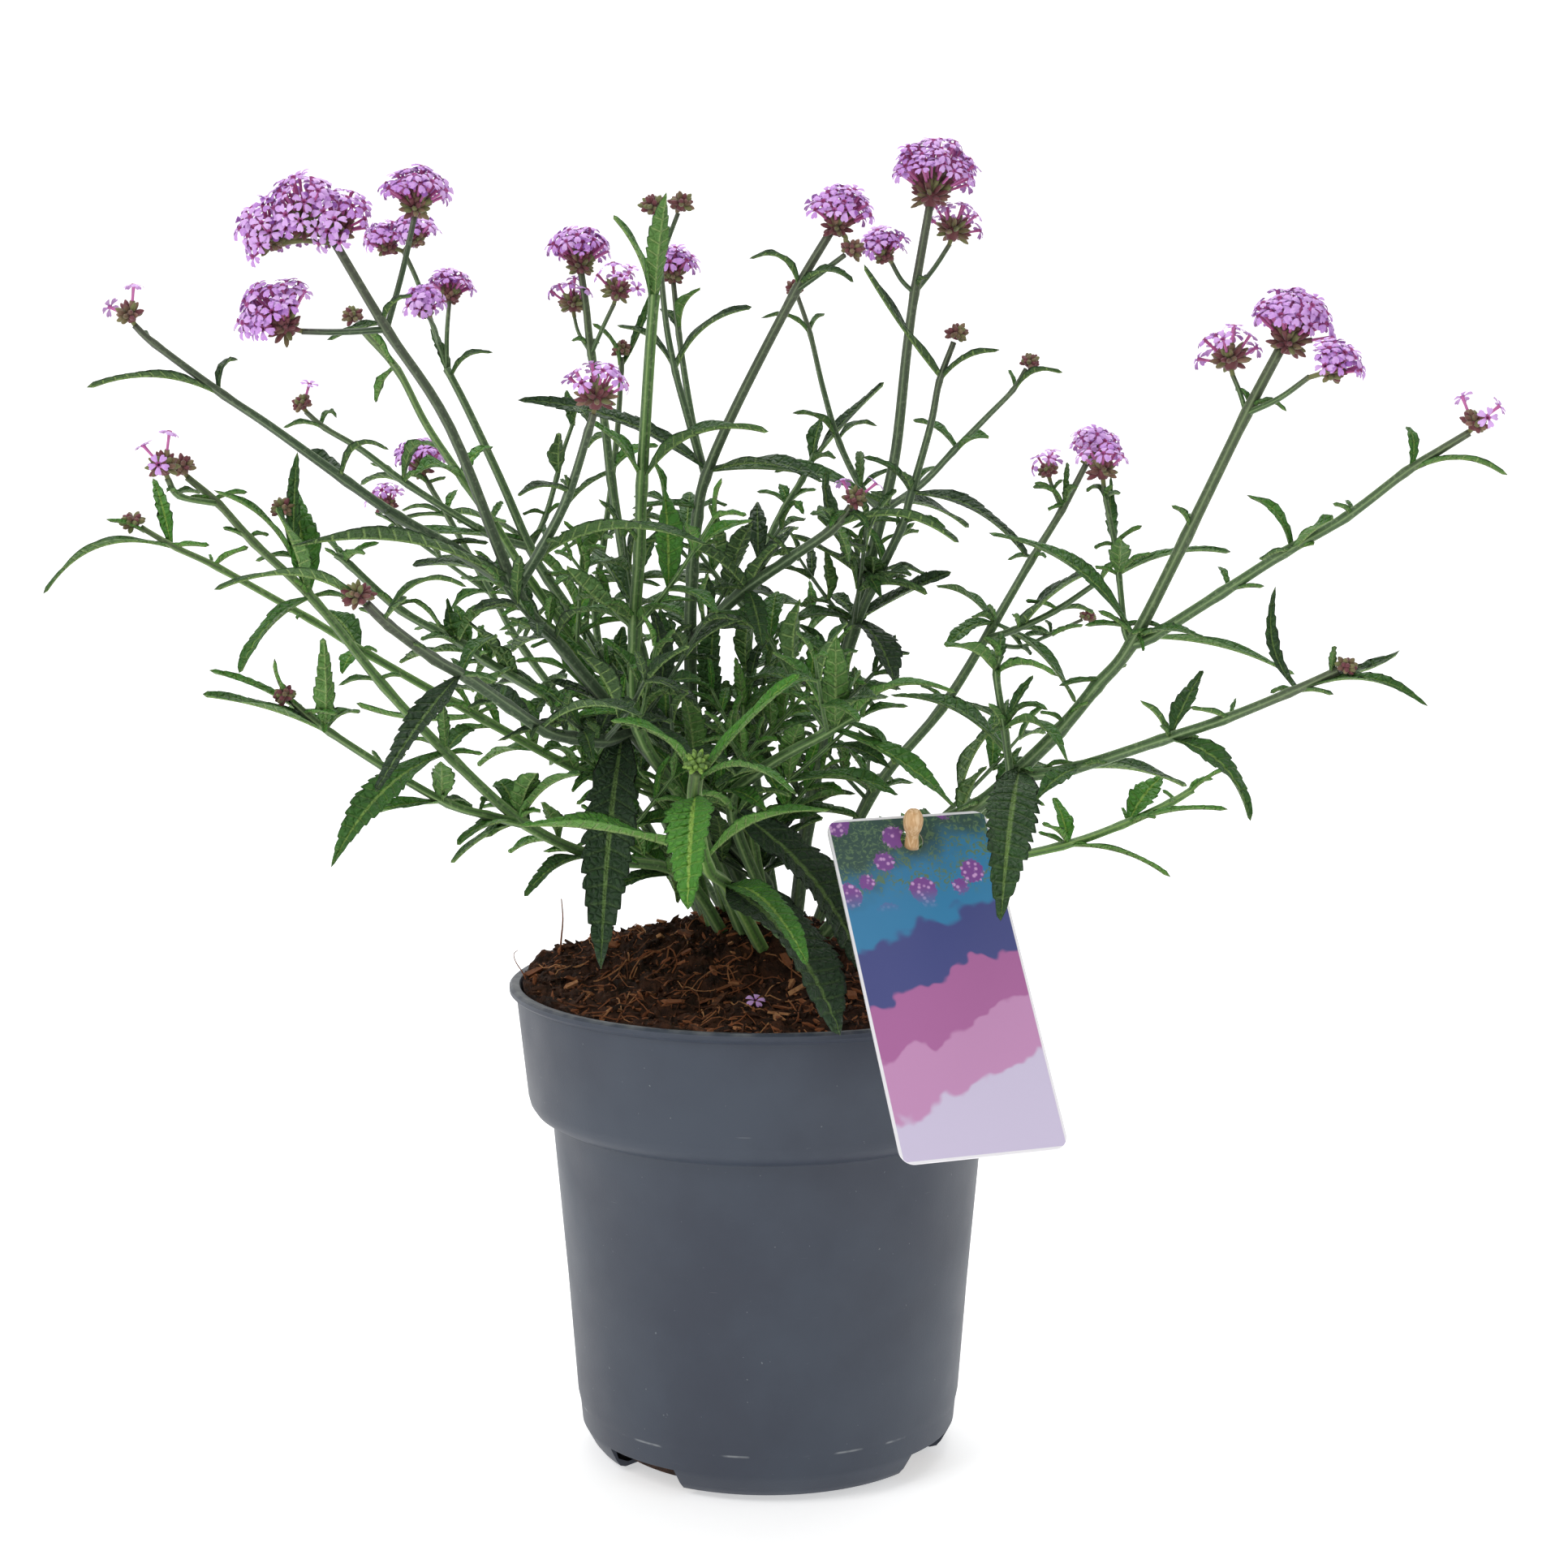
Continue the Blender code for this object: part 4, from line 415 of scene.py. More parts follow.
# The small leaves of each stem, by its number in the list
SPRIGS = {
    0: [Leaf(7, (-19, 6, -6), 5, 1), Leaf(7, (11, -6, 8), 4, 3)],
    3: [Leaf(3, (-12, 8, 8), 9, 1), Leaf(5, (5, 10, 10), 4, 5), Leaf(6, (-4, 6, 7), 3, 1)],
    4: [Leaf(3, (-8, 8, 16), 4, 2)],
    5: [Leaf(5, (11, 12, 11), 8, 3)],
    6: [Leaf(7, (17, -8, 8), 4, 4), Leaf(7, (-8, 8, 17), 5, 1)],
    10: [Leaf(2, (-18, 16, -2), 6, 3), Leaf(4, (2, 6, 11), 3, 4), Leaf(4, (-12, -10, -1), 3, 2)],
    11: [Leaf(2, (1, -6, 15), 8, 1), Leaf(4, (-3, 10, 13), 5, 1), Leaf(4, (6, -4, 10), 4, 2)],
    12: [Leaf(2, (7, 6, 17), 7, 2), Leaf(5, (-14, -18, 1), 10, 4), Leaf(5, (10, 16, 10), 6, 3),
         Leaf(7, (-9, -8, 14), 6, 1), Leaf(7, (-8, 10, -13), 5, 2)],
    13: [Leaf(3, (-9, 20, 10), 13, 2), Leaf(3, (7, -12, 17), 11, 2), Leaf(4, (1, -14, 18), 5, 1),
         Leaf(9, (6, -6, 12), 3, 2)],
    16: [Leaf(2, (2, -16, 15), 9, 1), Leaf(2, (8, 18, -5), 4, 2), Leaf(4, (10, 12, 4), 6, 3),
         Leaf(5, (-8, -6, 18), 3, -2)],
    17: [Leaf(4, (-4, -14, -7), 7, 2), Leaf(8, (-12, -6, 4), 2, 1)],
    18: [Leaf(4, (-4, 8, 15), 8, -3), Leaf(4, (-11, -18, 2), 5, 2), Leaf(6, (9, -8, 3), 6, 2),
         Leaf(6, (-8, 10, 8), 5, 1)],
    19: [Leaf(3, (17, -14, 2), 9, 4)],
    20: [Leaf(8, (-17, -12, 8), 5, 6)],
    22: [Leaf(3, (8, -6, 14), 7, 3), Leaf(3, (-7, 10, 7), 4, 2)],
    25: [Leaf(3, (-3, -6, 17), 8, -3), Leaf(3, (5, 14, -14), 5, 2), Leaf(4, (-2, -6, 8), 4, 2),
         Leaf(4, (5, -10, 6), 4, 2)],
    26: [Leaf(3, (-11, 20, 7), 6, 3), Leaf(8, (4, -10, 2), 3, 2)],
    29: [Leaf(1, (12, -14, 9), 9, 3), Leaf(1, (-1, -18, 11), 9, 2), Leaf(3, (-4, -9, 7), 5, 1),
         Leaf(5, (20, -10, 9), 4, 3)],
    30: [Leaf(2, (-16, 12, 10), 6, 3), Leaf(2, (11, -10, 4), 7, 2), Leaf(4, (17, -8, 5), 4, 4),
         Leaf(4, (-2, 6, 6), 2, 1)],
    31: [Leaf(2, (-17, -8, 9), 6, 4), Leaf(2, (15, 8, 4), 4, 4), Leaf(4, (-18, -6, 4), 3, 4),
         Leaf(4, (6, 6, 6), 3, 2)],
    32: [Leaf(3, (-10, -16, 3), 5, 2), Leaf(5, (-13, -6, 7), 3, 3), Leaf(5, (4, -10, 7), 5, 3),
         Leaf(5, (2, 12, 16), 3, 3)],
    34: [Leaf(3, (-8, 12, 6), 4, 2), Leaf(3, (9, -8, 8), 5, 2)],
    35: [Leaf(2, (-2, 4, 5), 2, 2), Leaf(2, (12, -4, 4), 4, 1)],
    36: [Leaf(8, (-4, 6, 5), 3, 2), Leaf(8, (10, -8, -2), 4, 3)],
    39: [Leaf(3, (-14, 8, 17), 6, 4), Leaf(3, (10, -16, 11), 8, 1), Leaf(5, (-1, 6, 13), 4, 5)],
    40: [Leaf(2, (-1, -14, 12), 8, 1), Leaf(4, (2, -6, 5), 3, 1), Leaf(4, (-6, 4, 6), 3, 3)],
    41: [Leaf(1, (14, -16, 3), 6, 5), Leaf(1, (-6, -8, 9), 6, 1), Leaf(1, (10, 6, 17), 5, 1),
         Leaf(2, (12, 8, 2), 5, 1), Leaf(2, (19, -14, -1), 6, 4), Leaf(3, (1, 2, 10), 5, 1),
         Leaf(3, (-6, -6, 8), 5, 2)],
    42: [Leaf(1, (-16, -16, -9), 8, 2), Leaf(2, (-11, -8, 13), 4, 2), Leaf(5, (0, -4, 9), 3, 1)],
    43: [Leaf(3, (-5, 10, 16), 8, 2), Leaf(3, (-11, -10, 9), 5, 2), Leaf(6, (18, -4, 11), 3, 2),
         Leaf(6, (11, 8, 4), 4, 2)],
    45: [Leaf(3, (-13, -16, 11), 6, 5), Leaf(4, (1, -4, 24), 6, 1), Leaf(4, (17, 6, -16), 7, 3)],
    46: [Leaf(2, (-13, 10, 7), 9, 3), Leaf(3, (13, -4, 10), 7, 2), Leaf(3, (-4, 12, 7), 6, 2)],
    47: [Leaf(4, (-3, 6, 7), 5, 1), Leaf(4, (6, -6, -4), 5, 2), Leaf(6, (4, 4, 17), 8, 1),
         Leaf(6, (9, -12, 1), 6, 2)],
    48: [Leaf(4, (18, 8, 9), 7, 3), Leaf(6, (-7, 1, 2), 3, 2), Leaf(6, (3, 1, 1), 3, 2)],
    51: [Leaf(2, (-21, 10, 0), 8, 3), Leaf(2, (18, -4, 10), 8, 3), Leaf(3, (-17, -6, -6), 7, 3),
         Leaf(3, (18, 12, 6), 7, 3), Leaf(4, (-12, 8, -4), 7, 3), Leaf(5, (-11, -4, 16), 3, 3)],
    52: [Leaf(3, (-15, -4, -8), 6, 3), Leaf(4, (-19, 10, 1), 3, 3), Leaf(4, (3, 12, 9), 4, 2)],
}


def vector(point):
    """A point in millimetres as a vector in metres."""
    return Vector(point) * MM


# Settling the leaves, as the part's source does it


def blade_axes(reach, roll):
    """A blade's directions: along it, out of its face and across it."""
    along = Vector(reach).normalized()
    upward = Vector((0, -0.15, 1))
    face = (upward - along * upward.dot(along)).normalized()
    turned_face = Matrix.Rotation(math.radians(roll), 3, along) @ face
    return along, face, turned_face, along.cross(turned_face)


def blade_line(base, leaf, face, t):
    """The place of the midrib at a share of the blade's length."""
    return Vector(base) + Vector(leaf.reach) * t + face * (leaf.arch * 4 * t * (1 - t))


def blade_roll(number):
    return BLADE_ROLL * math.sin(number * BLADE_ROLL_STEP)


def blade_room(base, leaf, number, stations=STATIONS):
    """The room that a blade takes, a little larger than the blade: corners and triangles."""
    lift, face, across = blade_axes(leaf.reach, blade_roll(number))[1:]
    corners = []
    half = 0.5 * leaf.width + BLADE_CLEARANCE
    wave = BLADE_WAVE * leaf.width
    for t, share in stations:
        place = blade_line(base, leaf, lift, t)
        side = across * (half * share)
        rise = face * (BLADE_FOLD * half * share)
        corners += [place + side + rise, place + face * (BLADE_ROOM_ABOVE + wave),
                    place - side + rise, place - face * (BLADE_ROOM_BELOW + wave)]
    return room_of(corners, 4)


def room_of(corners, sides):
    """A closed tube of triangles through rows of corners."""
    faces = []
    rows = len(corners) // sides
    for row in range(rows - 1):
        for i in range(sides):
            j = (i + 1) % sides
            a, b = row * sides + i, row * sides + j
            c, d = a + sides, b + sides
            faces += [(a, b, d), (a, d, c)]
    for start in (0, (rows - 1) * sides):
        faces += [(start, start + i, start + i + 1) for i in range(1, sides - 1)]
    return corners, faces


def girth_at(girths, place, last):
    """A stalk's girth at a place on its route, counted in points up to the last."""
    return girths[0] + (girths[1] - girths[0]) * place / last


def stalk_room(path, girths):
    """The room that a stalk takes, a little larger than the stalk."""
    corners = []
    last = len(path) - 1
    for i, place in enumerate(path):
        along = (Vector(path[min(last, i + 1)]) - Vector(path[max(0, i - 1)])).normalized()
        side = along.cross(Vector(ASIDE)).normalized()
        other = along.cross(side)
        reach = girth_at(girths, i, last) / 2 * STALK_CORNER + BLADE_CLEARANCE
        for turn in range(4):
            angle = math.pi / 2 * turn
            spread = side * math.cos(angle) + other * math.sin(angle)
            corners.append(Vector(place) + spread * reach * STALK_ROOM_CORNER)
    return room_of(corners, 4)


def node_room(name):
    """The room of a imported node, in millimetres."""
    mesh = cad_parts[name].data
    mesh.calc_loop_triangles()
    corners = [vert.co / MM for vert in mesh.vertices]
    return corners, [tuple(triangle.vertices) for triangle in mesh.loop_triangles]


class Rooms:
    """The rooms taken so far, each with its shoot, for bending a leaf clear of the others."""

    def __init__(self):
        self.taken = []

    def shapes(self, *rooms):
        """Each room's lowest and highest corner and its search tree."""
        shapes = []
        for corners, faces in rooms:
            low = [min(corner[i] for corner in corners) for i in range(3)]
            high = [max(corner[i] for corner in corners) for i in range(3)]
            shapes.append((low, high, BVHTree.FromPolygons(corners, faces)))
        return shapes

    def take(self, owner, room, outer=None):
        self.taken.append((owner, outer is not None, self.shapes(room, outer or room)))

    def is_clear(self, owner, room, outer):
        """Whether a room is free. Beside its own shoot's leaves only the outer part counts."""
        shapes = self.shapes(room, outer)
        for other, is_leaf, other_shapes in self.taken:
            own = other == owner
            if own and not is_leaf:
                continue
            low, high, tree = shapes[own]
            other_low, other_high, other_tree = other_shapes[own]
            if any(low[i] > other_high[i] or high[i] < other_low[i] for i in range(3)):
                continue
            if tree.overlap(other_tree):
                return False
        return True


def bends():
    """The bends that a leaf may take, mildest first: its tip's move and its share of length."""
    choices = []
    for share in BEND_SHARES:
        for depth in BEND_DEPTHS:
            for height in BEND_HEIGHTS:
                cost = abs(depth) + HEIGHT_COST * abs(height) + SHARE_COST * (1 - share)
                choices.append((cost, depth, height, share))
    return sorted(choices, key=lambda choice: choice[0])


def blade_root(stem, leaf):
    """Where a blade starts: inside the stalk, just above its knot."""
    last = len(stem.path) - 1
    girth = girth_at(stem.girth, leaf.knot, last)
    knot = Vector(stem.path[leaf.knot])
    beside = Vector(stem.path[leaf.knot - 1 if leaf.knot == last else leaf.knot + 1])
    above = (beside - knot).normalized() * girth
    return knot + above + Vector(leaf.reach).normalized() * (BLADE_ROOT_DEPTH * girth)


def settle(leaf, base, owner, number, rooms):
    """Bends a leaf until it is clear of its neighbours, or gives None where it has no room."""
    for _, depth, height, share in bends():
        reach = (Vector(leaf.reach) + Vector((0, depth, height))).normalized()
        reach = reach * (Vector(leaf.reach).length * share)
        bent = leaf._replace(reach=tuple(reach), width=leaf.width * (0.4 + 0.6 * share))
        room = blade_room(base, bent, number)
        outer = blade_room(base, bent, number, OUTER_STATIONS)
        if rooms.is_clear(owner, room, outer):
            rooms.take(owner, room, outer)
            return bent
    return None


def head_axis(stem):
    """The direction in which a stem's tip points."""
    return (Vector(stem.path[-1]) - Vector(stem.path[-2])).normalized()


def lobes(head):
    """A head's domes: each one's place from the seat, along the head's own axes, and its radius."""
    return [(place, share * head.size) for place, share in LOBES.get(head.kind, PLAIN_LOBE)]


def head_frame(stem):
    """A head's middle and its upright axes, in millimetres."""
    axis = head_axis(stem)
    upright = (axis + Vector((0, 0, 1.2))).normalized()
    side = Vector((1, 0, 0))
    side = (side - upright * side.dot(upright)).normalized()
    return axis, upright, side, upright.cross(side)


def head_room(stem):
    """The room that a head takes."""
    head = stem.head
    upright = head_frame(stem)[1]
    seat = Vector(stem.path[-1]) + Vector((*head.lean, 0)) * HEAD_ROOM_LEAN
    reach = head.size * HEAD_ROOM_GROWTH.get(head.kind, PLAIN_ROOM_GROWTH)
    corners = []
    for up, out in HEAD_ROOM_RINGS:
        for i in range(8):
            turn = math.pi / 4 * i
            spread = Vector((math.cos(turn), math.sin(turn), 0)) * (reach * out)
            corners.append(seat + upright * (reach * up) + spread)
    return room_of(corners, 8)


def is_open(head):
    return head is not None and head.kind != "buds"


# The leaves of the short shoots in the leaf axils: (height below which they grow, count at a knot,
# shortest and longest, width as a share of length). The outer rule holds beyond the side shoots
AXIL_RULES = ((226, 4, 26, 48, 0.3), (300, 3, 16, 36, 0.26), (356, 2, 10, 24, 0.2))
OUTER_AXIL_RULE = (0, 2, 7, 15, 0.22)


# The side shoots: between these heights and this near the pot's axis, each knot bears this many,
# this long, on all but the bare shoots. Their leaves stand in pairs at the stops along them, each
# with its length as a share of the shoot's and its width as a share of its own
SIDE_SHOOT_HEIGHTS = (192, 318)
SIDE_SHOOT_REACH = 84
BARE_SHOOTS = ("front",)
SIDE_SHOOTS_AT_KNOT = 2
SIDE_SHOOT_LENGTH = (24, 58)
SIDE_SHOOT_GIRTH = (1.7, 1.0)
SIDE_SHOOT_STOPS = (0, 0.4, 0.72, 1)
SIDE_SHOOT_LEAVES = ((0.6, 0.32), (0.46, 0.3), (0.3, 0.26))
SIDE_SHOOT_RISE = 0.16
SIDE_SHOOT_TRIES = 5
SHORTEST_LEAF = 9


def axil_leaves(number, stem):
    """The leaves of the short shoots at a stem's knots, spread around it, larger further down."""
    draw = random.Random(700 + number)
    leaves = []
    if stem.plant in BARE_SHOOTS:
        return leaves
    for knot in range(1, len(stem.path) - 1):
        x, y, height = stem.path[knot]
        rule = next((rule for rule in AXIL_RULES if height < rule[0]), None)
        if math.hypot(x, y) > SIDE_SHOOT_REACH:
            rule = OUTER_AXIL_RULE
        if rule is None or height > AXIL_RULES[-1][0]:
            continue
        _, count, shortest, longest, slimness = rule
        start = draw.uniform(0, FULL_TURN)
        for i in range(count):
            turn = start + i * GOLDEN_TURN + draw.uniform(-0.3, 0.3)
            length = draw.uniform(shortest, longest)
            rise = draw.uniform(-0.25, 0.75)
            reach = Vector((math.cos(turn), math.sin(turn), rise)).normalized() * length
            arch = draw.uniform(0.05, 0.16) * length
            leaves.append(Leaf(knot, tuple(reach), length * slimness, arch))
    return leaves


def side_shoot(stem, knot, draw):
    """A short leafy shoot from a knot: three pairs of leaves, each crossing the pair below."""
    start = Vector(stem.path[knot])
    stalk_way = (Vector(stem.path[knot + 1]) - start).normalized()
    turn = draw.uniform(0, FULL_TURN)
    way = (stalk_way * 0.5 + Vector((math.cos(turn), math.sin(turn), 0.35))).normalized()
    length = draw.uniform(*SIDE_SHOOT_LENGTH)
    path = []
    for share in SIDE_SHOOT_STOPS:
        rise = Vector((0, 0, SIDE_SHOOT_RISE * length * share ** 2))
        path.append(tuple(start + way * (length * share) + rise))
    leaves = []
    side = way.orthogonal().normalized()
    for level, (size, slimness) in enumerate(SIDE_SHOOT_LEAVES, 1):
        side = Matrix.Rotation(math.radians(90), 3, way) @ side
        for hand in (1, -1):
            reach = (side * hand + way * (0.35 + 0.35 * level)).normalized()
            reach = reach * max(SHORTEST_LEAF, length * size * draw.uniform(0.8, 1.2))
            leaves.append(Leaf(level, tuple(reach), reach.length * slimness, 0.1 * reach.length))
    return Stem(stem.plant, SIDE_SHOOT_GIRTH, path, leaves, None)


def side_shoots(rooms):
    """The side shoots that have room, by a seeded rule."""
    grown = []
    for number, stem in enumerate(STEMS):
        draw = random.Random(900 + number)
        if stem.plant in BARE_SHOOTS:
            continue
        for knot in range(1, len(stem.path) - 1):
            x, y, height = stem.path[knot]
            if not SIDE_SHOOT_HEIGHTS[0] < height < SIDE_SHOOT_HEIGHTS[1]:
                continue
            if math.hypot(x, y) > SIDE_SHOOT_REACH:
                continue
            for _ in range(SIDE_SHOOTS_AT_KNOT):
                tries = [side_shoot(stem, knot, draw) for _ in range(SIDE_SHOOT_TRIES)]
                for shoot in tries:
                    room = stalk_room(shoot.path[1:], shoot.girth)
                    if rooms.is_clear(stem.plant, room, room):
                        rooms.take(stem.plant, room)
                        grown.append(shoot)
                        break
    return grown


# Large leaves that hang over the soil, by the number of the stem that bears them
HANGING = {44: [Leaf(1, (39, -50, -42), 30, 9)], 45: [Leaf(1, (42, -26, -60), 24, 8)]}


HEAP_ROOM_RADII = (12, 25, 40, 55, 70, 82, 90)
HEAP_ROOM_SIDES = 24
HEAP_ROOM_DEPTH = 1.5


def heap_room():
    """The room of the soil where it is heaped up."""
    corners = []
    for radius in HEAP_ROOM_RADII:
        for x, y, _ in ring(radius, 0, HEAP_ROOM_SIDES):
            corners.append((x, y, rough_height(x, y) - HEAP_ROOM_DEPTH))
    faces = grid_faces(len(HEAP_ROOM_RADII), HEAP_ROOM_SIDES, closed=True)
    return corners, faces.tolist()


def settled_leaves():
    """All stems, side shoots too, and every leaf that has room: (stem's and own number, root, leaf).

    The leaves of the solids come first, so that they settle as in the part's source.
    """
    rooms = Rooms()
    for name in ("pot", "soil", "label", "label_pick"):
        rooms.take(name, node_room(name))
    for stem in STEMS:
        rooms.take(stem.plant, stalk_room(stem.path, stem.girth))
        if is_open(stem.head):
            rooms.take("head", head_room(stem))
    stems = list(STEMS)
    settled = []
    number = 0

    def settle_batch(lists):
        nonlocal number
        batch = []
        for stem_number, leaves in lists:
            for leaf in leaves:
                size = Vector(leaf.reach).length * leaf.width
                batch.append((size, number, stem_number, leaf))
                number += 1
        batch.sort(key=lambda entry: (-entry[0], entry[1]))
        for _, leaf_number, stem_number, leaf in batch:
            stem = stems[stem_number]
            root = blade_root(stem, leaf)
            bent = settle(leaf, root, stem.plant, leaf_number, rooms)
            if bent is not None:
                settled.append((stem_number, leaf_number, root, bent))

    settle_batch([(i, stem.leaves) for i, stem in enumerate(STEMS)])
    rooms.take("heap", heap_room())
    settle_batch(sorted(HANGING.items()))
    settle_batch(sorted(SPRIGS.items()))
    stems += side_shoots(rooms)
    settle_batch([(i, stems[i].leaves) for i in range(len(STEMS), len(stems))])
    settle_batch([(i, axil_leaves(i, stem)) for i, stem in enumerate(STEMS)])
    return stems, sorted(settled, key=lambda entry: entry[:2])


# Making meshes


class Form:
    """Corners, faces and their looks gathered for one mesh, with marks that the materials read."""

    def __init__(self, *marks):
        self.corners = []
        self.faces = []
        self.looks = []
        self.marks = {name: [] for name in marks}
        self.count = 0

    def add(self, corners, faces, look=0, **marks):
        corners = np.asarray(corners, float).reshape(-1, 3)
        self.corners.append(corners)
        for group in faces:
            group = np.asarray(group, int)
            if len(group):
                self.faces.append(group + self.count)
                self.looks.append(np.full(len(group), look))
        for name, values in self.marks.items():
            value = np.asarray(marks.get(name, 0.0), float)
            values.append(np.broadcast_to(value.reshape(-1) if value.ndim else value, len(corners)))
        self.count += len(corners)

    def mesh(self, name, smooth=True):
        corners = np.concatenate(self.corners) * MM
        sizes = np.concatenate([np.full(len(group), group.shape[1]) for group in self.faces])
        mesh = bpy.data.meshes.new(name)
        mesh.vertices.add(len(corners))
        mesh.vertices.foreach_set("co", corners.ravel())
        loops = np.concatenate([group.ravel() for group in self.faces])
        mesh.loops.add(len(loops))
        mesh.loops.foreach_set("vertex_index", loops.astype(np.int32))
        mesh.polygons.add(len(sizes))
        starts = np.concatenate([[0], np.cumsum(sizes)[:-1]])
        mesh.polygons.foreach_set("loop_start", starts.astype(np.int32))
        mesh.polygons.foreach_set("material_index", np.concatenate(self.looks).astype(np.int32))
        mesh.polygons.foreach_set("use_smooth", np.full(len(sizes), smooth))
        for mark, values in self.marks.items():
            layer = mesh.attributes.new(mark, "FLOAT", "POINT")
            layer.data.foreach_set("value", np.concatenate(values).astype(np.float32))
        mesh.update(calc_edges=True)
        mesh.validate()
        return mesh

    def piece(self, name, materials, smooth=True):
        """The finished object, wearing its materials in the order of the looks."""
        mesh = self.mesh(name, smooth)
        for material in materials:
            mesh.materials.append(material)
        return add_piece(name, mesh)


def add_piece(name, mesh):
    piece = bpy.data.objects.new(name, mesh)
    bpy.context.scene.collection.objects.link(piece)
    return piece


def dress(piece, slot, *nodes):
    """The piece stands for these nodes of the frame, which are hidden, and hangs from the root body. The
    slot is not used.
    """
    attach(piece, "root")
    if nodes:
        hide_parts(*nodes)
    return piece


def grid_faces(rows, columns, closed=False):
    """The quads of a grid of corners, row by row, open or closed around."""
    across = columns if closed else columns - 1
    i, j = np.meshgrid(np.arange(rows - 1), np.arange(across), indexing="ij")
    i = i.ravel()
    j = j.ravel()
    k = (j + 1) % columns
    return np.stack([i * columns + j, i * columns + k, (i + 1) * columns + k, (i + 1) * columns + j],
                    axis=1)


def smooth_route(path, steps):
    """A curve through every point of a path, with each place's share of the path."""
    points = np.array(path, float)
    ends = np.vstack([2 * points[0] - points[1], points, 2 * points[-1] - points[-2]])
    route = []
    shares = []
    for i in range(len(points) - 1):
        a, b, c, d = ends[i:i + 4]
        for step in range(steps):
            t = step / steps
            place = 0.5 * (2 * b + (c - a) * t + (2 * a - 5 * b + 4 * c - d) * t ** 2
                           + (3 * b - a - 3 * c + d) * t ** 3)
            route.append(place)
            shares.append(i + t)
    route.append(points[-1])
    shares.append(len(points) - 1)
    return np.array(route), np.array(shares)


def route_frames(route):
    """Two directions across the route at every point, which don't twist along it."""
    along = np.gradient(route, axis=0)
    along /= np.linalg.norm(along, axis=1)[:, None]
    side = np.cross(along[0], ASIDE)
    sides = []
    for direction in along:
        side = side - direction * side.dot(direction)
        side = side / np.linalg.norm(side)
        sides.append(side)
    sides = np.array(sides)
    return sides, np.cross(along, sides)


def tube(form, route, radii, around, look=0, ridged=0.0, **marks):
    """A tube along a route, closed at both ends. Ridges make its section square with grooves."""
    side, other = route_frames(route)
    angles = 2 * np.pi * np.arange(around) / around
    shape = 1 + ridged * np.cos(STALK_RIDGES * angles)
    reach = np.asarray(radii)[:, None] * shape[None, :]
    corners = (route[:, None] + side[:, None] * (reach * np.cos(angles))[..., None]
               + other[:, None] * (reach * np.sin(angles))[..., None])
    rows = len(route)
    first = rows * around
    corners = np.concatenate([corners.reshape(-1, 3), route[:1], route[-1:]])
    i = np.arange(around)
    j = (i + 1) % around
    last = (rows - 1) * around
    caps = np.concatenate([np.stack([np.full(around, first), j, i], axis=1),
                           np.stack([np.full(around, first + 1), last + i, last + j], axis=1)])
    spread = {}
    for name, value in marks.items():
        value = np.asarray(value, float)
        if value.ndim == 1:
            value = np.concatenate([np.repeat(value, around), value[:1], value[-1:]])
        spread[name] = value
    # The ridge mark, which the stalk finish reads to paint shade in the grooves and a highlight on the
    # ridges
    if "ridge" in form.marks:
        ridge = np.tile((np.cos(STALK_RIDGES * angles) + 1) / 2, rows)
        spread["ridge"] = np.concatenate([ridge, [0, 0]])
    form.add(corners, [grid_faces(rows, around, closed=True), caps], look, **spread)


# The leaves and stems

WIDE_COLUMNS = np.array([-1, -0.82, -0.52, -0.24, -0.06, 0, 0.06, 0.24, 0.52, 0.82, 1])
SLIM_COLUMNS = np.array([-1, -0.55, -0.12, 0, 0.12, 0.55, 1])
# Along one tooth: its share, how far its margin is cut in and how far the blade swells between veins
TOOTH = ((0.0, 1.0, 0.0), (0.35, 0.5, 0.9), (0.7, 0.1, 0.8), (0.93, 0.0, 0.15))
FIRST_TOOTH = 0.2
LAST_TOOTH = 0.97
TOOTH_LENGTH = 5.6
FEWEST_TEETH = 3
MOST_TEETH = 11
TOOTH_DEPTH = 0.18
SLIM_TOOTH_DEPTH = 0.24
TOOTH_SLANT = 0.13
# The rows of a blade below its first tooth
BARE_ROWS = ((0, 0, 0), (0.07, 0, 0.1), (0.14, 0, 0.3))
# A leaf under this width has fewer rows and columns
SLIM_LEAF = 6.5
PUCKER = 0.036
MIDRIB_DEPTH = 0.35
BLADE_TWIST = 0.55
VEIN_SLANT = 0.12
LEAF_NET = 400
# The stalks: grooved by ridges, thicker at their knots
STALK_STEPS = 6
STALK_RIDGES = 4
STALK_RIDGE_DEPTH = 0.15
KNOT_SWELL = 0.16
KNOT_SPAN = 0.12
THIN_STALK = 2.4
LEAF_LOOK = 0
STALK_LOOK = 1
CALYX_LOOK = 2
SHOOT_MARKS = ("row", "across", "teeth", "tone", "under", "ridge", "blush")


def blade_rows(teeth, slim, number):
    """The rows of a blade: each one's place, how far its teeth are cut, and how far it swells."""
    rows = list(BARE_ROWS)
    tooth = TOOTH[::2] if slim else TOOTH
    for i in range(teeth):
        uneven = 1 + 0.4 * math.sin(number * 3.1 + i * 2.3)
        drift = 0.16 * math.sin(number + i * 1.9)
        for share, cut, swell in tooth:
            shifted = i + share + drift * share * (1 - share) * 4
            place = FIRST_TOOTH + (LAST_TOOTH - FIRST_TOOTH) * shifted / teeth
            rows.append((place, cut * uneven, swell))
    return np.array(rows).T


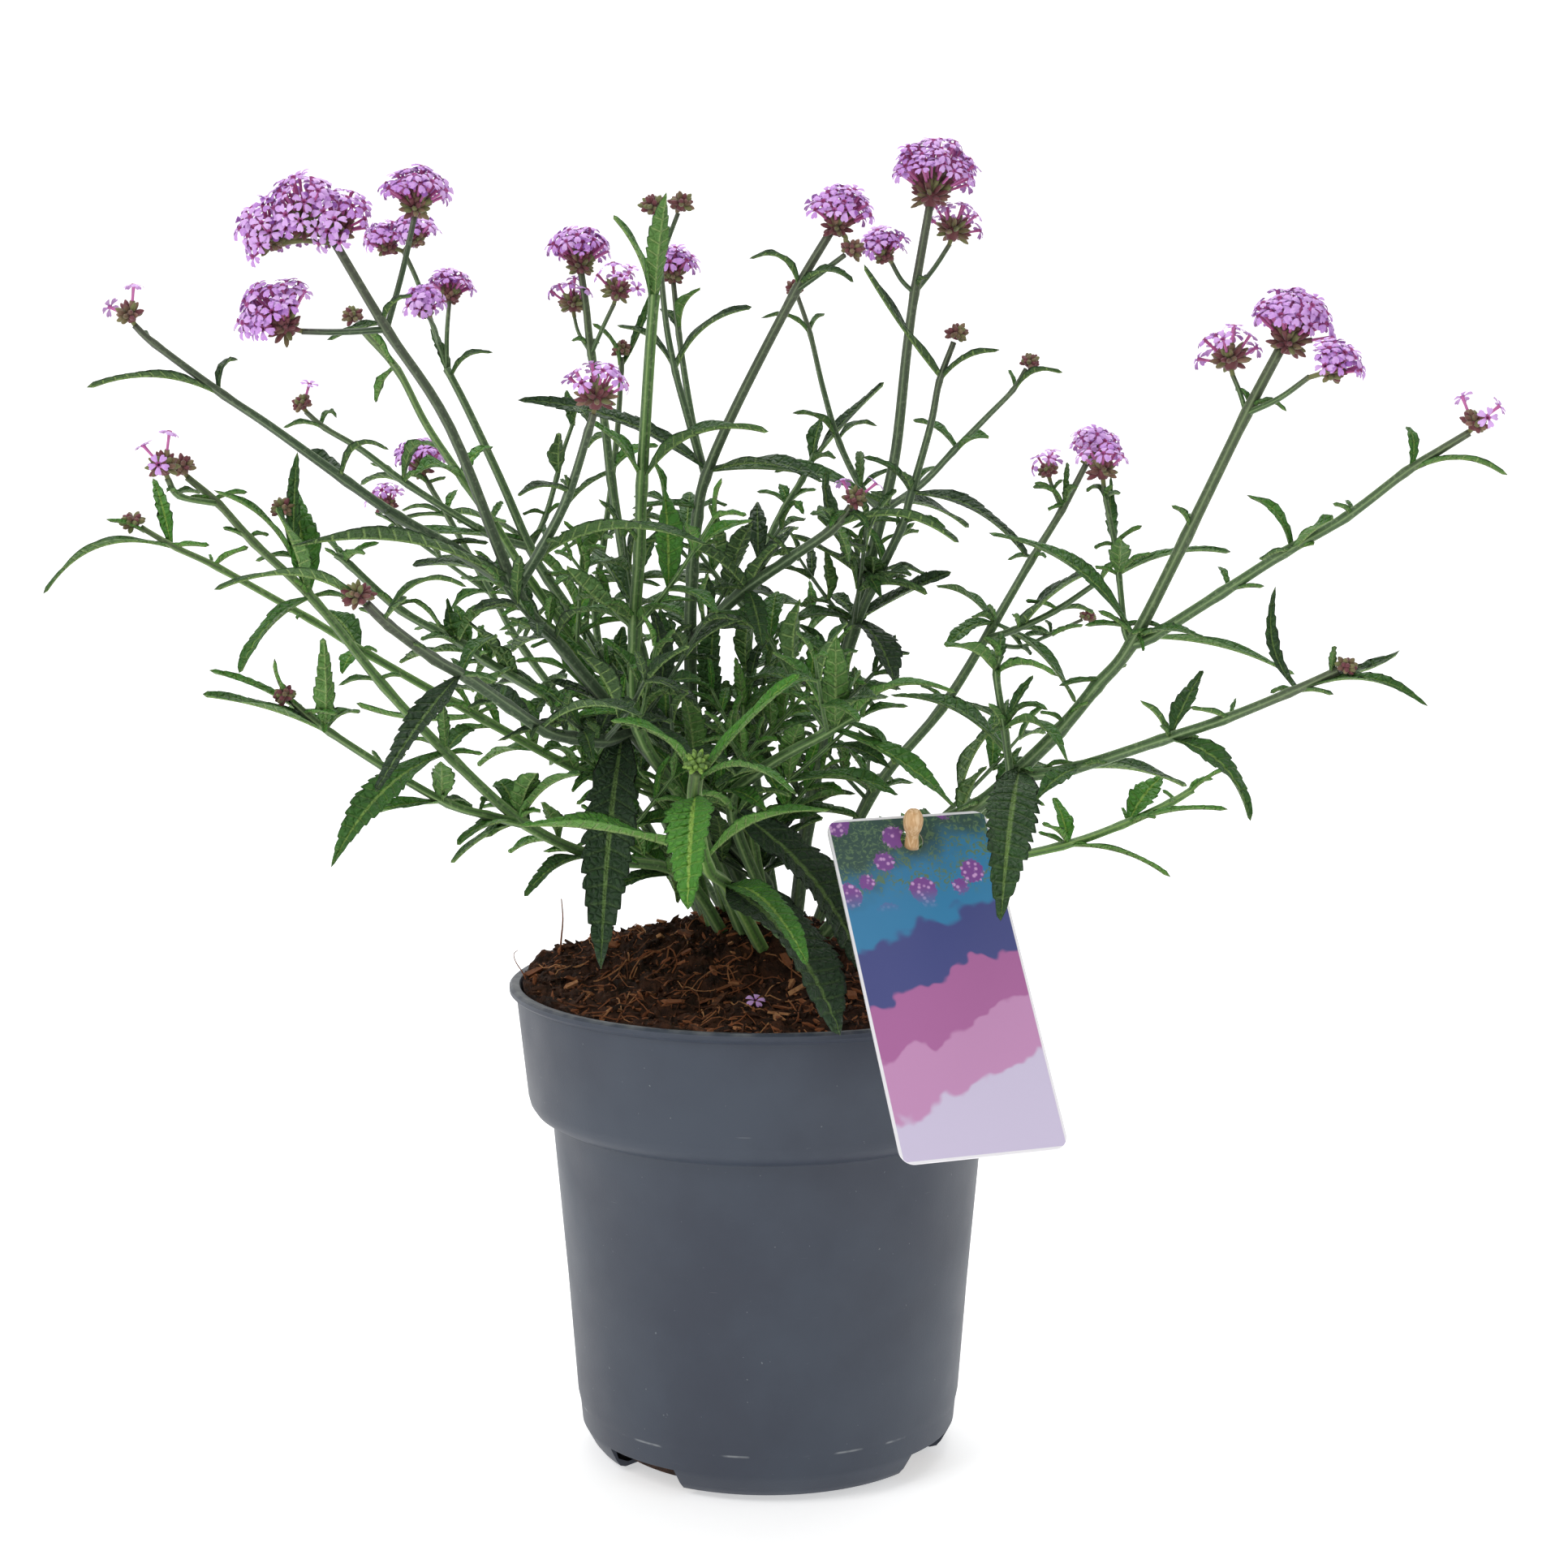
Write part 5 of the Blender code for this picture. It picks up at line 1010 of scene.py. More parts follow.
def blade_faces(n_rows, n_columns):
    """The faces of a blade's upper and lower sheets, which share their margins and a tip."""
    inner = n_columns - 2
    upper = np.arange(n_rows * n_columns).reshape(n_rows, n_columns)
    lower = upper.copy()
    lower[:, 1:-1] = n_rows * n_columns + np.arange(n_rows * inner).reshape(n_rows, inner)
    tip = np.full(n_columns - 1, n_rows * (n_columns + inner))
    quads = []
    fans = []
    for sheet, order in ((upper, 1), (lower, -1)):
        quad = np.stack([sheet[:-1, :-1], sheet[:-1, 1:], sheet[1:, 1:], sheet[1:, :-1]], axis=-1)
        quads.append(quad.reshape(-1, 4)[:, ::order])
        fan = np.stack([sheet[-1, :-1], sheet[-1, 1:], tip], axis=-1)
        fans.append(fan[:, ::order])
    return quads + fans


def blade(form, base, leaf, number, tone):
    """A thin toothed leaf, creased along its midrib and puckered between its veins."""
    reach = np.array(leaf.reach)
    lift, face, across = (np.array(v) for v in blade_axes(leaf.reach, blade_roll(number))[1:])
    slim = leaf.width < SLIM_LEAF
    teeth = round(np.linalg.norm(reach) / TOOTH_LENGTH)
    teeth = int(max(FEWEST_TEETH, min(MOST_TEETH, teeth)))
    rows, cut, swell = blade_rows(teeth, slim, number)
    columns = SLIM_COLUMNS if slim else WIDE_COLUMNS
    size = np.abs(columns)[None, :]
    row = rows[:, None]
    t = row + TOOTH_SLANT * size * (1 - row) * np.minimum(1, row / 0.15)
    root = min(BLADE_ROOT_WIDTH, 0.3 * leaf.width)
    foot = 1 - 0.3 * np.exp(-(t / 0.22) ** 2)
    half = np.maximum(root, 0.5 * leaf.width * foot * np.sin(np.pi * t ** 0.8) ** 0.75)
    depth = SLIM_TOOTH_DEPTH if slim else TOOTH_DEPTH
    out = half * (1 - depth * cut[:, None] * size ** 4)
    wave = BLADE_WAVE * leaf.width * np.sin(9 * t + number + np.sign(columns)[None, :]) * size ** 2
    pucker = PUCKER * leaf.width * swell[:, None] * (1 - size ** 3) * (size > 0.03)
    pucker = pucker * (1 + 0.4 * np.sin(5 * columns[None, :] + 3 * swell[:, None] + number))
    crease = -MIDRIB_DEPTH * np.exp(-(size / 0.08) ** 2)
    rise = BLADE_FOLD * half * size ** 1.3 + wave + pucker + crease
    twist = BLADE_TWIST * math.sin(number * 1.7) * (t - 0.25)
    x = columns[None, :] * out
    flat = x * np.cos(twist) - rise * np.sin(twist)
    high = x * np.sin(twist) + rise * np.cos(twist)
    middle = (np.array(base) + reach * t[..., None]
              + lift * (leaf.arch * 4 * t * (1 - t))[..., None])
    top = middle + across * flat[..., None] + face * high[..., None]
    thick = 0.16 + 0.3 * (1 - size ** 2) + 0.45 * np.exp(-(size / 0.09) ** 2) * (1 - 0.5 * row)
    bottom = (top - face * thick[..., None])[:, 1:-1]
    tip = np.array(base) + reach
    marks = {}
    for name, values, at_tip in (("row", row, 1), ("across", columns[None, :], 0)):
        sheet = np.broadcast_to(values, top.shape[:2])
        marks[name] = np.concatenate([sheet.ravel(), sheet[:, 1:-1].ravel(), [at_tip]])
    marks["under"] = np.concatenate([np.zeros(top[..., 0].size), np.ones(bottom[..., 0].size), [0.5]])
    corners = np.concatenate([top.reshape(-1, 3), bottom.reshape(-1, 3), [tip]])
    form.add(corners, blade_faces(len(rows), len(columns)), LEAF_LOOK, teeth=teeth, tone=tone, **marks)


# How bright each shoot's green is, from the old dark leaves (0) to the fresh ones (1)
SHOOT_TONE = {"left_slim": 0.6, "front_tall": 0.5, "front": 0.82, "left_arm": 0.6, "left_low": 0.5,
              "right_low": 0.75, "centre_low": 0.6, "front_right": 0.45, "right_arm": 0.35,
              "left_tall": 0.12, "centre": 0.2, "right_tall": 0.2}
PLAIN_TONE = 0.3


def stalk(form, stem, tone, leafy_knots):
    """A square grooved stalk, swollen at its knots and flushed purple under its head."""
    route, shares = smooth_route(stem.path, STALK_STEPS)
    last = len(stem.path) - 1
    radii = girth_at(stem.girth, shares, last) / 2
    for knot in leafy_knots:
        radii = radii * (1 + KNOT_SWELL * np.exp(-((shares - knot) / KNOT_SPAN) ** 2))
    blush = np.clip(shares / last * 1.6 - 0.9, 0, 1) if stem.head is not None else shares * 0
    around = 16 if stem.girth[0] > THIN_STALK else 8
    tube(form, route, radii, around, STALK_LOOK, ridged=STALK_RIDGE_DEPTH, tone=tone, blush=blush)


# The florets, buds and calyces of the heads, as shapes that face +Z. Tubes and calyces are 1 long


def ring(radius, height, count):
    angles = 2 * np.pi * np.arange(count) / count
    return np.stack([radius * np.cos(angles), radius * np.sin(angles), np.full(count, float(height))],
                    axis=1)


# A petal from the mouth outwards: its distance, half its width and its rise, in shares of the radius
PETAL_ROWS = ((0.16, 0.07, -0.12), (0.36, 0.15, 0.0), (0.66, 0.29, 0.04), (0.88, 0.32, 0.0),
              (1.0, 0.2, -0.06))
PETAL_NOTCH = 0.12
PETAL_DROOPS = (0.0, 0.14, 0.34)


def floret_petals(droop):
    """Five notched petals around a small mouth: corners, faces and the share from the mouth."""
    corners = []
    faces = []
    share = []
    columns = (-1, -0.5, 0, 0.5, 1)
    for petal in range(5):
        turn = 2 * np.pi * petal / 5
        first = len(corners)
        for distance, half, rise in PETAL_ROWS:
            for column in columns:
                length = distance
                if distance == 1.0:
                    length -= PETAL_NOTCH * (1 - abs(column) * 2) if abs(column) < 0.4 else 0
                x = length * math.cos(turn) - half * column * math.sin(turn)
                y = length * math.sin(turn) + half * column * math.cos(turn)
                bow = 0.05 * (1 - abs(column))
                corners.append((x, y, rise + bow - droop * distance ** 2))
                share.append(distance)
        faces.append(grid_faces(len(PETAL_ROWS), len(columns)) + first)
    return np.array(corners), np.concatenate(faces), np.array(share)


def turned_shape(profile, around):
    """Rings of corners for a profile of (radius, height), and their faces."""
    corners = np.concatenate([ring(radius, height, around) for radius, height in profile])
    return corners, grid_faces(len(profile), around, closed=True)[:, ::-1]


TUBE_PROFILE = [(0.95, 0.02), (0.62, -0.08), (0.5, -0.4), (0.5, -0.75), (0.62, -1.0)]
CALYX_PROFILE = [(0.6, -0.06), (0.95, 0.0), (1.02, -0.35), (0.8, -0.75), (0.25, -1.0)]
SPENT_PROFILE = [(0.1, 0.02), (0.42, -0.04), (0.85, -0.22), (0.98, -0.5), (0.75, -0.82), (0.25, -1.0)]
BUD_PROFILE = [(0.05, 1.25), (0.75, 0.95), (1.2, 0.2), (0.95, -0.6), (0.5, -1.2)]
HEAD_MARKS = ("share", "tone")
HEAD_PETAL = 0
HEAD_TUBE = 1
HEAD_CALYX = 2
TUBE_SHARE = 0.66
CALYX_SHARE = 0.52
CALYX_LENGTH = 0.45
# What the materials read as a floret's share and as the tone of what is hidden under it
TUBE_MARK = 0.4
CALYX_MARK = 0.5
CORE_TONE = 0.25
NECK_TONE = 0.7


def facing(direction, turn):
    """The rows of a frame that faces this way, turned about it."""
    axis = Vector(direction).normalized()
    side = Matrix.Rotation(turn, 3, axis) @ axis.orthogonal().normalized()
    other = axis.cross(side)
    return np.array([side, other, axis])


def jittered(direction, amount, draw):
    return direction + Vector([draw.uniform(-amount, amount) for _ in range(3)])


class HeadShapes:
    """The shapes that every head repeats, each put with the look numbers of its piece."""

    def __init__(self, calyx_look):
        self.petals = [floret_petals(droop) for droop in PETAL_DROOPS]
        self.tube = turned_shape(TUBE_PROFILE, 6)
        self.calyx = turned_shape(CALYX_PROFILE, 6)
        self.spent = turned_shape(SPENT_PROFILE, 6)
        self.bud = turned_shape(BUD_PROFILE, 7)
        self.calyx_look = calyx_look

    def put(self, form, shape, look, place, rows, size, share, tone):
        form.add(shape[0] * size @ rows + np.array(place), [shape[1]], look, share=share, tone=tone)

    def put_calyx(self, form, root, line, rows, tone):
        self.put(form, self.calyx, self.calyx_look, root + line * CALYX_SHARE, rows,
                 (1, 1, CALYX_LENGTH * line.length), CALYX_MARK, tone)

    def floret(self, form, root, place, size, draw):
        """A floret with its face at the place, on a tube from a calyx at the root."""
        line = place - root
        turn = draw.uniform(0, FULL_TURN)
        tone = draw.random()
        petals = self.petals[draw.randrange(3)]
        tilt = jittered(line.normalized(), 0.3, draw)
        rows = facing(line, turn)
        self.put(form, petals[:2], HEAD_PETAL, place, facing(tilt, turn), size, petals[2], tone)
        self.put(form, self.tube, HEAD_TUBE, place, rows, (1, 1, TUBE_SHARE * line.length),
                 TUBE_MARK, tone)
        self.put_calyx(form, root, line, rows, tone)

    def closed_bud(self, form, root, place, draw):
        line = place - root
        rows = facing(line, draw.uniform(0, FULL_TURN))
        tone = draw.random()
        self.put(form, self.bud, HEAD_TUBE, place, rows, 1, 1.0, tone)
        self.put(form, self.tube, HEAD_TUBE, place - line.normalized(), rows,
                 (0.8, 0.8, 0.5 * line.length), TUBE_MARK, tone)
        self.put_calyx(form, root, line, rows, tone)

    def bare_calyx(self, form, root, tip, draw):
        line = tip - root
        rows = facing(line, draw.uniform(0, FULL_TURN))
        self.put(form, self.spent, self.calyx_look, tip, rows, (1, 1, line.length), CALYX_MARK,
                 draw.random())


def dome_directions(count, steepest):
    """Evenly spread directions over a dome, as (along the axis, turn) pairs, by a golden spiral."""
    low = math.cos(math.radians(steepest))
    return [(1 - (1 - low) * (i + 0.5) / count, i * GOLDEN_TURN) for i in range(count)]


def toward(frame_axes, rise, turn):
    """A direction over a dome, from its axes, its share along the axis and its turn."""
    upright, side, other = frame_axes
    out = math.sqrt(max(0, 1 - rise * rise))
    return side * (out * math.cos(turn)) + other * (out * math.sin(turn)) + upright * rise


FLORET_SIZE = 3.9
YOUNG_FLORET = 0.9
FLORET_DENSITY = 0.19
# Every so many florets there is a closed bud, from this one on
BUD_EVERY = 7
FIRST_BUD = 3
# A dome's root below its middle, its ball of calyces, and how near another dome's florets may be,
# all in shares of its radius
DOME_ROOT = 0.4
DOME_BALL = 0.44
DOME_OVERLAP = 0.74
NECK_DEPTH = 1.2
# How far around its dome a head's florets reach, by the kind of head, in degrees
DOME_SPREAD = {"triple": 132, "double": 98}
PLAIN_DOME_SPREAD = 88


def calyx_ball(form, shapes, centre, axes, reach, count, steepest, draw):
    """A close ball of calyces, as a young head has and as an open one shows from below."""
    upright = axes[0]
    start = centre - upright * (0.5 * reach)
    core = np.array([start, centre, centre + upright * (0.45 * reach)])
    radii = [0.25 * reach, 0.5 * reach, 0.12 * reach]
    tube(form, core, radii, 8, shapes.calyx_look, share=CALYX_MARK, tone=CORE_TONE)
    for rise, turn in dome_directions(count, steepest):
        direction = jittered(toward(axes, rise, turn), 0.16, draw).normalized()
        tip = centre + direction * (reach * draw.uniform(0.88, 1.12))
        shapes.bare_calyx(form, centre + direction * (0.15 * reach), tip, draw)


def dome_head(form, stem, shapes, draw):
    """An open head: domes of florets, whose tubes spread from a cluster of calyces."""
    head = stem.head
    axis, upright, side, other = head_frame(stem)
    axes = (upright, side, other)
    spread = DOME_SPREAD.get(head.kind, PLAIN_DOME_SPREAD)
    seat = Vector(stem.path[-1]) + axis * SEAT_GAP
    domes = []
    for offset, radius in lobes(head):
        shift = (side * offset[0] + other * offset[1] + upright * offset[2]) * head.size
        shift = shift * 0.9 + Vector((*head.lean, 0))
        domes.append((seat + shift + upright * (radius * 0.5), radius))
    for number, (middle, radius) in enumerate(domes):
        others = domes[:number] + domes[number + 1:]
        root = middle - upright * (DOME_ROOT * radius)
        neck = np.array([seat - axis * NECK_DEPTH, seat.lerp(root, 0.5) + upright * 0.4, root])
        tube(form, neck, [0.85, 0.9, 1.3], 7, HEAD_CALYX, share=CALYX_MARK, tone=NECK_TONE)
        calyx_ball(form, shapes, root, axes, DOME_BALL * radius, round(9 + 1.4 * radius), 130, draw)
        count = round(FLORET_DENSITY * radius ** 2) + 7
        for i, (rise, turn) in enumerate(dome_directions(count, spread)):
            direction = jittered(toward(axes, rise, turn), 0.14, draw).normalized()
            reach = radius * draw.uniform(0.76, 0.98)
            place = middle + direction * reach - upright * (0.14 * reach * max(0, rise))
            if any((place - away).length < DOME_OVERLAP * size for away, size in others):
                continue
            if i % BUD_EVERY == FIRST_BUD:
                shapes.closed_bud(form, root, place - direction * (0.2 * radius), draw)
            else:
                shapes.floret(form, root, place, FLORET_SIZE * draw.uniform(0.86, 1.08), draw)


def slim_head(form, stem, shapes, draw):
    """A young head: a ball of calyces with its first florets open."""
    head = stem.head
    axis, upright, side, other = head_frame(stem)
    axes = (upright, side, other)
    seat = Vector(stem.path[-1]) + axis * SEAT_GAP
    middle = seat + upright * (0.85 * head.size)
    root = seat + upright * (0.45 * head.size)
    neck = np.array([seat - axis * NECK_DEPTH, seat.lerp(root, 0.5), root])
    tube(form, neck, [0.8, 0.9, 1.1], 7, HEAD_CALYX, share=CALYX_MARK, tone=NECK_TONE)
    calyx_ball(form, shapes, root + upright * (0.2 * head.size), axes, 0.95 * head.size,
               round(12 + 2.5 * head.size), 118, draw)
    cup = head.kind == "cup"
    count = round(head.florets * 2.4) if cup else head.florets
    for rise, turn in dome_directions(count, 78 if cup else 80):
        direction = jittered(toward(axes, rise, turn), 0.12, draw).normalized()
        reach = head.size * 1.3 + 1.5 if cup else head.size + 4.5
        place = middle + direction * reach * draw.uniform(0.88, 1.05)
        shapes.floret(form, root, place, FLORET_SIZE * YOUNG_FLORET, draw)


# Materials


def srgb(red, green, blue):
    """A colour as it is seen, in 0 to 255, as the linear colour that a shader takes."""
    def linear(value):
        value = value / 255
        return value / 12.92 if value <= 0.04045 else ((value + 0.055) / 1.055) ** 2.4
    return (linear(red), linear(green), linear(blue), 1)


class Finish:
    """A material with its own node tree, built by short calls."""

    def __init__(self, name, roughness=0.6, specular=0.5, sheen=0.0):
        self.material = bpy.data.materials.new(name)
        self.material.use_nodes = True
        self.tree = self.material.node_tree
        self.shader = self.tree.nodes["Principled BSDF"]
        self.shader.inputs["Roughness"].default_value = roughness
        self.shader.inputs["Specular IOR Level"].default_value = specular
        self.shader.inputs["Sheen Weight"].default_value = sheen

    def node(self, kind, inputs=None, **settings):
        node = self.tree.nodes.new(kind)
        for name, value in settings.items():
            setattr(node, name, value)
        for socket, value in (inputs or {}).items():
            self.feed(node.inputs[socket], value)
        return node

    def feed(self, socket, value):
        if isinstance(value, bpy.types.NodeSocket):
            self.tree.links.new(value, socket)
        else:
            socket.default_value = value

    def mark(self, name):
        return self.node("ShaderNodeAttribute", attribute_name=name).outputs["Fac"]

    def place(self):
        return self.node("ShaderNodeTexCoord").outputs["Object"]

    def stretched_place(self, scale):
        inputs = {"Vector": self.place(), "Scale": scale}
        return self.node("ShaderNodeMapping", inputs).outputs[0]

    def height(self):
        return self.node("ShaderNodeSeparateXYZ", {0: self.place()}).outputs[2]

    def calc(self, kind, a, b=0.0, c=0.0):
        return self.node("ShaderNodeMath", {0: a, 1: b, 2: c}, operation=kind).outputs[0]

    def plus(self, a, b):
        return self.calc("ADD", a, b)

    def minus(self, a, b):
        return self.calc("SUBTRACT", a, b)

    def times(self, a, b):
        return self.calc("MULTIPLY", a, b)

    def step(self, value, low, high):
        """0 below low, 1 above high, smooth between. Low may be above high."""
        inputs = {"Value": value, "From Min": low, "From Max": high}
        return self.node("ShaderNodeMapRange", inputs, interpolation_type="SMOOTHSTEP").outputs[0]

    def noise(self, scale, detail=3.0, roughness=0.55, place=None, distortion=0.0):
        inputs = {"Vector": place or self.place(), "Scale": scale, "Detail": detail,
                  "Roughness": roughness, "Distortion": distortion}
        return self.node("ShaderNodeTexNoise", inputs).outputs[0]

    def wander(self, reach, scale, detail=3.0, place=None):
        """Noise to both sides of zero, about half the reach at most."""
        return self.times(self.minus(self.noise(scale, detail, place=place), 0.5), reach)

    def cells(self, scale, feature="DISTANCE_TO_EDGE", place=None):
        inputs = {"Vector": place or self.place(), "Scale": scale}
        return self.node("ShaderNodeTexVoronoi", inputs, feature=feature).outputs[0]

    def mix(self, share, a, b):
        node = self.node("ShaderNodeMix", data_type="RGBA")
        colours = [socket for socket in node.inputs if socket.type == "RGBA"]
        self.feed(node.inputs[0], share)
        self.feed(colours[0], a)
        self.feed(colours[1], b)
        return [socket for socket in node.outputs if socket.type == "RGBA"][0]

    def over(self, colour, tint, share, strength):
        """A colour with a tint laid over it by a share, this strong at most."""
        return self.mix(self.times(share, strength), colour, tint)

    def colour(self, value):
        self.feed(self.shader.inputs["Base Color"], value)

    def rough(self, lowest, reach, scale, detail=3.0, place=None):
        """Roughness that varies by noise, from the lowest value upwards."""
        cloud = self.noise(scale, detail, place=place)
        value = self.calc("MULTIPLY_ADD", cloud, reach, lowest)
        self.feed(self.shader.inputs["Roughness"], value)

    def bump(self, height, distance, strength=1.0):
        inputs = {"Height": height, "Distance": distance, "Strength": strength}
        bump = self.node("ShaderNodeBump", inputs)
        self.feed(self.shader.inputs["Normal"], bump.outputs[0])


def leaf_finish():
    """Dark to bright green, a pale midrib, sunken side veins and a fine puckered net, the puckers
    painted lighter than the sunken net between them as painted light and shade.
    """
    finish = Finish("leaf_green", roughness=0.5, specular=0.3, sheen=0.05)
    side = finish.calc("ABSOLUTE", finish.mark("across"))
    phase = finish.times(finish.minus(finish.mark("row"), FIRST_TOOTH), finish.mark("teeth"))
    phase = finish.calc("DIVIDE", phase, LAST_TOOTH - FIRST_TOOTH)
    away = finish.calc("PINGPONG", finish.plus(phase, finish.times(side, VEIN_SLANT)), 0.5)
    vein = finish.times(finish.step(away, 0.13, 0.02), finish.step(side, 0.98, 0.6))
    midrib = finish.step(side, 0.13, 0.04)
    net = finish.cells(LEAF_NET)
    tone = finish.step(finish.plus(finish.mark("tone"), finish.wander(0.35, 160)), 0.0, 1.0)
    green = finish.mix(tone, srgb(31, 55, 30), srgb(68, 130, 38))
    # Painted light and shade: the raised puckers are lightened, the sunken net between them stays darker
    pucker_lit_green = finish.mix(tone, srgb(50, 80, 40), srgb(94, 154, 50))
    green = finish.over(green, pucker_lit_green, finish.step(net, 0.0, 0.35), 0.35)
    pale = finish.mix(tone, srgb(112, 142, 78), srgb(160, 196, 88))
    green = finish.over(green, pale, vein, 0.18)
    green = finish.over(green, pale, midrib, 0.8)
    back = finish.mix(tone, srgb(70, 98, 56), srgb(100, 150, 64))
    back = finish.mix(finish.calc("MAXIMUM", vein, midrib), back, srgb(132, 162, 92))
    finish.colour(finish.mix(finish.mark("under"), green, back))
    finish.rough(0.36, 0.3, 300)
    relief = finish.minus(finish.step(net, 0.0, 0.3), finish.times(vein, 0.8))
    finish.bump(relief, 0.0007, 0.9)
    return finish.material


def stalk_finish():
    """Grey-green to bright green, darkened in its grooves as painted shade and pale along its ridges,
    partly their pale hairs and partly a painted highlight, flushed purple towards the heads.
    """
    finish = Finish("stalk_green", roughness=0.55, specular=0.35, sheen=0.15)
    tone = finish.plus(finish.mark("tone"), finish.times(finish.noise(120), 0.25))
    tone = finish.step(tone, 0.1, 1.1)
    green = finish.mix(tone, srgb(60, 80, 56), srgb(92, 138, 56))
    pale = finish.mix(tone, srgb(140, 158, 124), srgb(168, 198, 116))
    ridge = finish.mark("ridge")
    # Painted shade: the grooves between the ridges are darkened
    green = finish.over(green, srgb(44, 58, 38), finish.step(ridge, 0.45, 0.0), 0.65)
    # Pale ridges: partly the pale hairs on them, partly a painted highlight
    green = finish.over(green, pale, finish.step(ridge, 0.6, 1.0), 0.6)
    streak = finish.noise(700, 4)
    green = finish.over(green, pale, finish.step(streak, 0.5, 0.7), 0.3)
    finish.colour(finish.over(green, srgb(92, 72, 78), finish.mark("blush"), 0.55))
    finish.bump(streak, 0.0002, 0.6)
    return finish.material


def calyx_finish():
    """Maroon, olive where the tone is higher, and dull rose where it is highest."""
    finish = Finish("calyx_maroon", roughness=0.6, specular=0.3, sheen=0.2)
    tone = finish.plus(finish.mark("tone"), finish.times(finish.noise(500), 0.5))
    colour = finish.mix(finish.step(tone, 0.5, 1.1), srgb(112, 60, 66), srgb(112, 122, 70))
    finish.colour(finish.mix(finish.step(tone, 0.95, 1.4), colour, srgb(146, 92, 92)))
    finish.bump(finish.noise(2500, 2), 0.0001, 0.6)
    return finish.material


def tube_finish():
    """Rose corolla tubes, and buds that are more violet."""
    finish = Finish("corolla_rose", roughness=0.5, specular=0.35, sheen=0.2)
    tone = finish.step(finish.mark("tone"), 0.0, 1.0)
    rose = finish.mix(tone, srgb(170, 74, 130), srgb(200, 110, 172))
    violet = finish.step(finish.mark("share"), 0.6, 1.0)
    finish.colour(finish.mix(violet, rose, srgb(150, 88, 176)))
    finish.bump(finish.noise(2200, 2), 0.0001, 0.5)
    return finish.material


def petal_finish():
    """Lilac petals: deeper violet at the mouth, pale and a little frosted at the edge."""
    finish = Finish("petal_lilac", roughness=0.55, specular=0.3, sheen=0.25)
    lilac = finish.mix(finish.mark("tone"), srgb(190, 128, 214), srgb(222, 178, 238))
    streak = finish.noise(1500, 3)
    lilac = finish.over(lilac, srgb(232, 200, 244), finish.step(streak, 0.45, 0.7), 0.35)
    mouth = finish.step(finish.mark("share"), 0.36, 0.16)
    finish.colour(finish.mix(mouth, lilac, srgb(150, 78, 168)))
    finish.bump(streak, 0.0002, 0.5)
    return finish.material


LIP_DUST_HEIGHTS = (0.1738, 0.1753)
SCUFF_HEIGHT = 0.0172


def pot_finish():
    """Slate plastic: a pale dusty lip, specks of soil, fine scratches and a scuffed foot."""
    finish = Finish("slate_plastic", roughness=0.5, specular=0.4)
    height = finish.height()
    cloud = finish.step(finish.noise(14, 5), 0.35, 0.7)
    slate = finish.mix(cloud, srgb(52, 58, 71), srgb(60, 68, 81))
    dust = finish.step(finish.noise(120), 0.35, 0.7)
    dust = finish.times(finish.step(height, *LIP_DUST_HEIGHTS), dust)
    slate = finish.over(slate, srgb(140, 142, 142), dust, 0.4)
    specks = finish.step(finish.noise(520, 2), 0.74, 0.8)
    slate = finish.over(slate, srgb(140, 146, 150), specks, 0.5)
    scratch = finish.noise(1.0, 2, place=finish.stretched_place((60, 60, 900)))
    scratch = finish.times(finish.step(scratch, 0.74, 0.8), 0.25)
    scuff = finish.calc("ABSOLUTE", finish.minus(height, SCUFF_HEIGHT))
    scuff = finish.step(scuff, 0.0006, 0.0001)
    scuff = finish.times(scuff, finish.step(finish.noise(60), 0.5, 0.62))
    worn = finish.calc("MAXIMUM", scratch, scuff)
    finish.colour(finish.over(slate, srgb(160, 164, 166), worn, 0.5))
    finish.rough(0.36, 0.25, 40, 4)
    finish.bump(finish.noise(1600, 2), 0.00008, 0.5)
    return finish.material


def soil_finish():
    """Dark peat with lighter brown grain."""
    finish = Finish("peat", roughness=0.9, specular=0.2)
    cloud = finish.step(finish.noise(160, 5), 0.35, 0.7)
    brown = finish.mix(cloud, srgb(36, 23, 16), srgb(78, 49, 34))
    grain = finish.noise(900, 5, 0.7)
    finish.colour(finish.mix(finish.step(grain, 0.56, 0.74), brown, srgb(122, 76, 50)))
    finish.bump(grain, 0.0012, 0.9)
    return finish.material


def chip_finish():
    """Orange-brown coir and bark, streaked, from dark to pale by each piece's tone."""
    finish = Finish("coir", roughness=0.8, specular=0.25)
    tone = finish.plus(finish.mark("tone"), finish.wander(0.6, 600, 4))
    colour = finish.mix(finish.step(tone, 0.1, 0.6), srgb(50, 31, 22), srgb(138, 84, 52))
    finish.colour(finish.mix(finish.step(tone, 0.65, 1.05), colour, srgb(190, 140, 96)))
    finish.bump(finish.noise(1400, 4), 0.0004, 0.8)
    return finish.material


def wood_finish():
    """Pale turned wood with grain along it."""
    finish = Finish("pale_wood", roughness=0.5, specular=0.3)
    place = finish.stretched_place((900, 900, 60))
    grain = finish.noise(1.0, 4, place=place, distortion=0.6)
    finish.colour(finish.mix(finish.step(grain, 0.35, 0.7), srgb(206, 160, 110), srgb(238, 206, 164)))
    finish.bump(grain, 0.0002, 0.6)
    return finish.material


# The card's printed bands, from its foot up: the levels where each fades in, and its colour. Levels
# are in millimetres, from 9.5 at the foot down to -116.5 at the top
CARD_PAPER = (206, 196, 222)
CARD_BANDS = ((-14, -17, (196, 142, 186)), (-36, -38, (172, 104, 158)), (-54, -56, (72, 78, 134)),
              (-74, -77, (58, 128, 172)), (-92, -108, (58, 84, 78)))
BAND_DRIFT = 26
BAND_SLOPE = 0.35
LEAFY_LEVELS = (-84, -92)
ROSETTE_LEVELS = (-80, -90)
CARD_RIM = (1.0, 0.8)


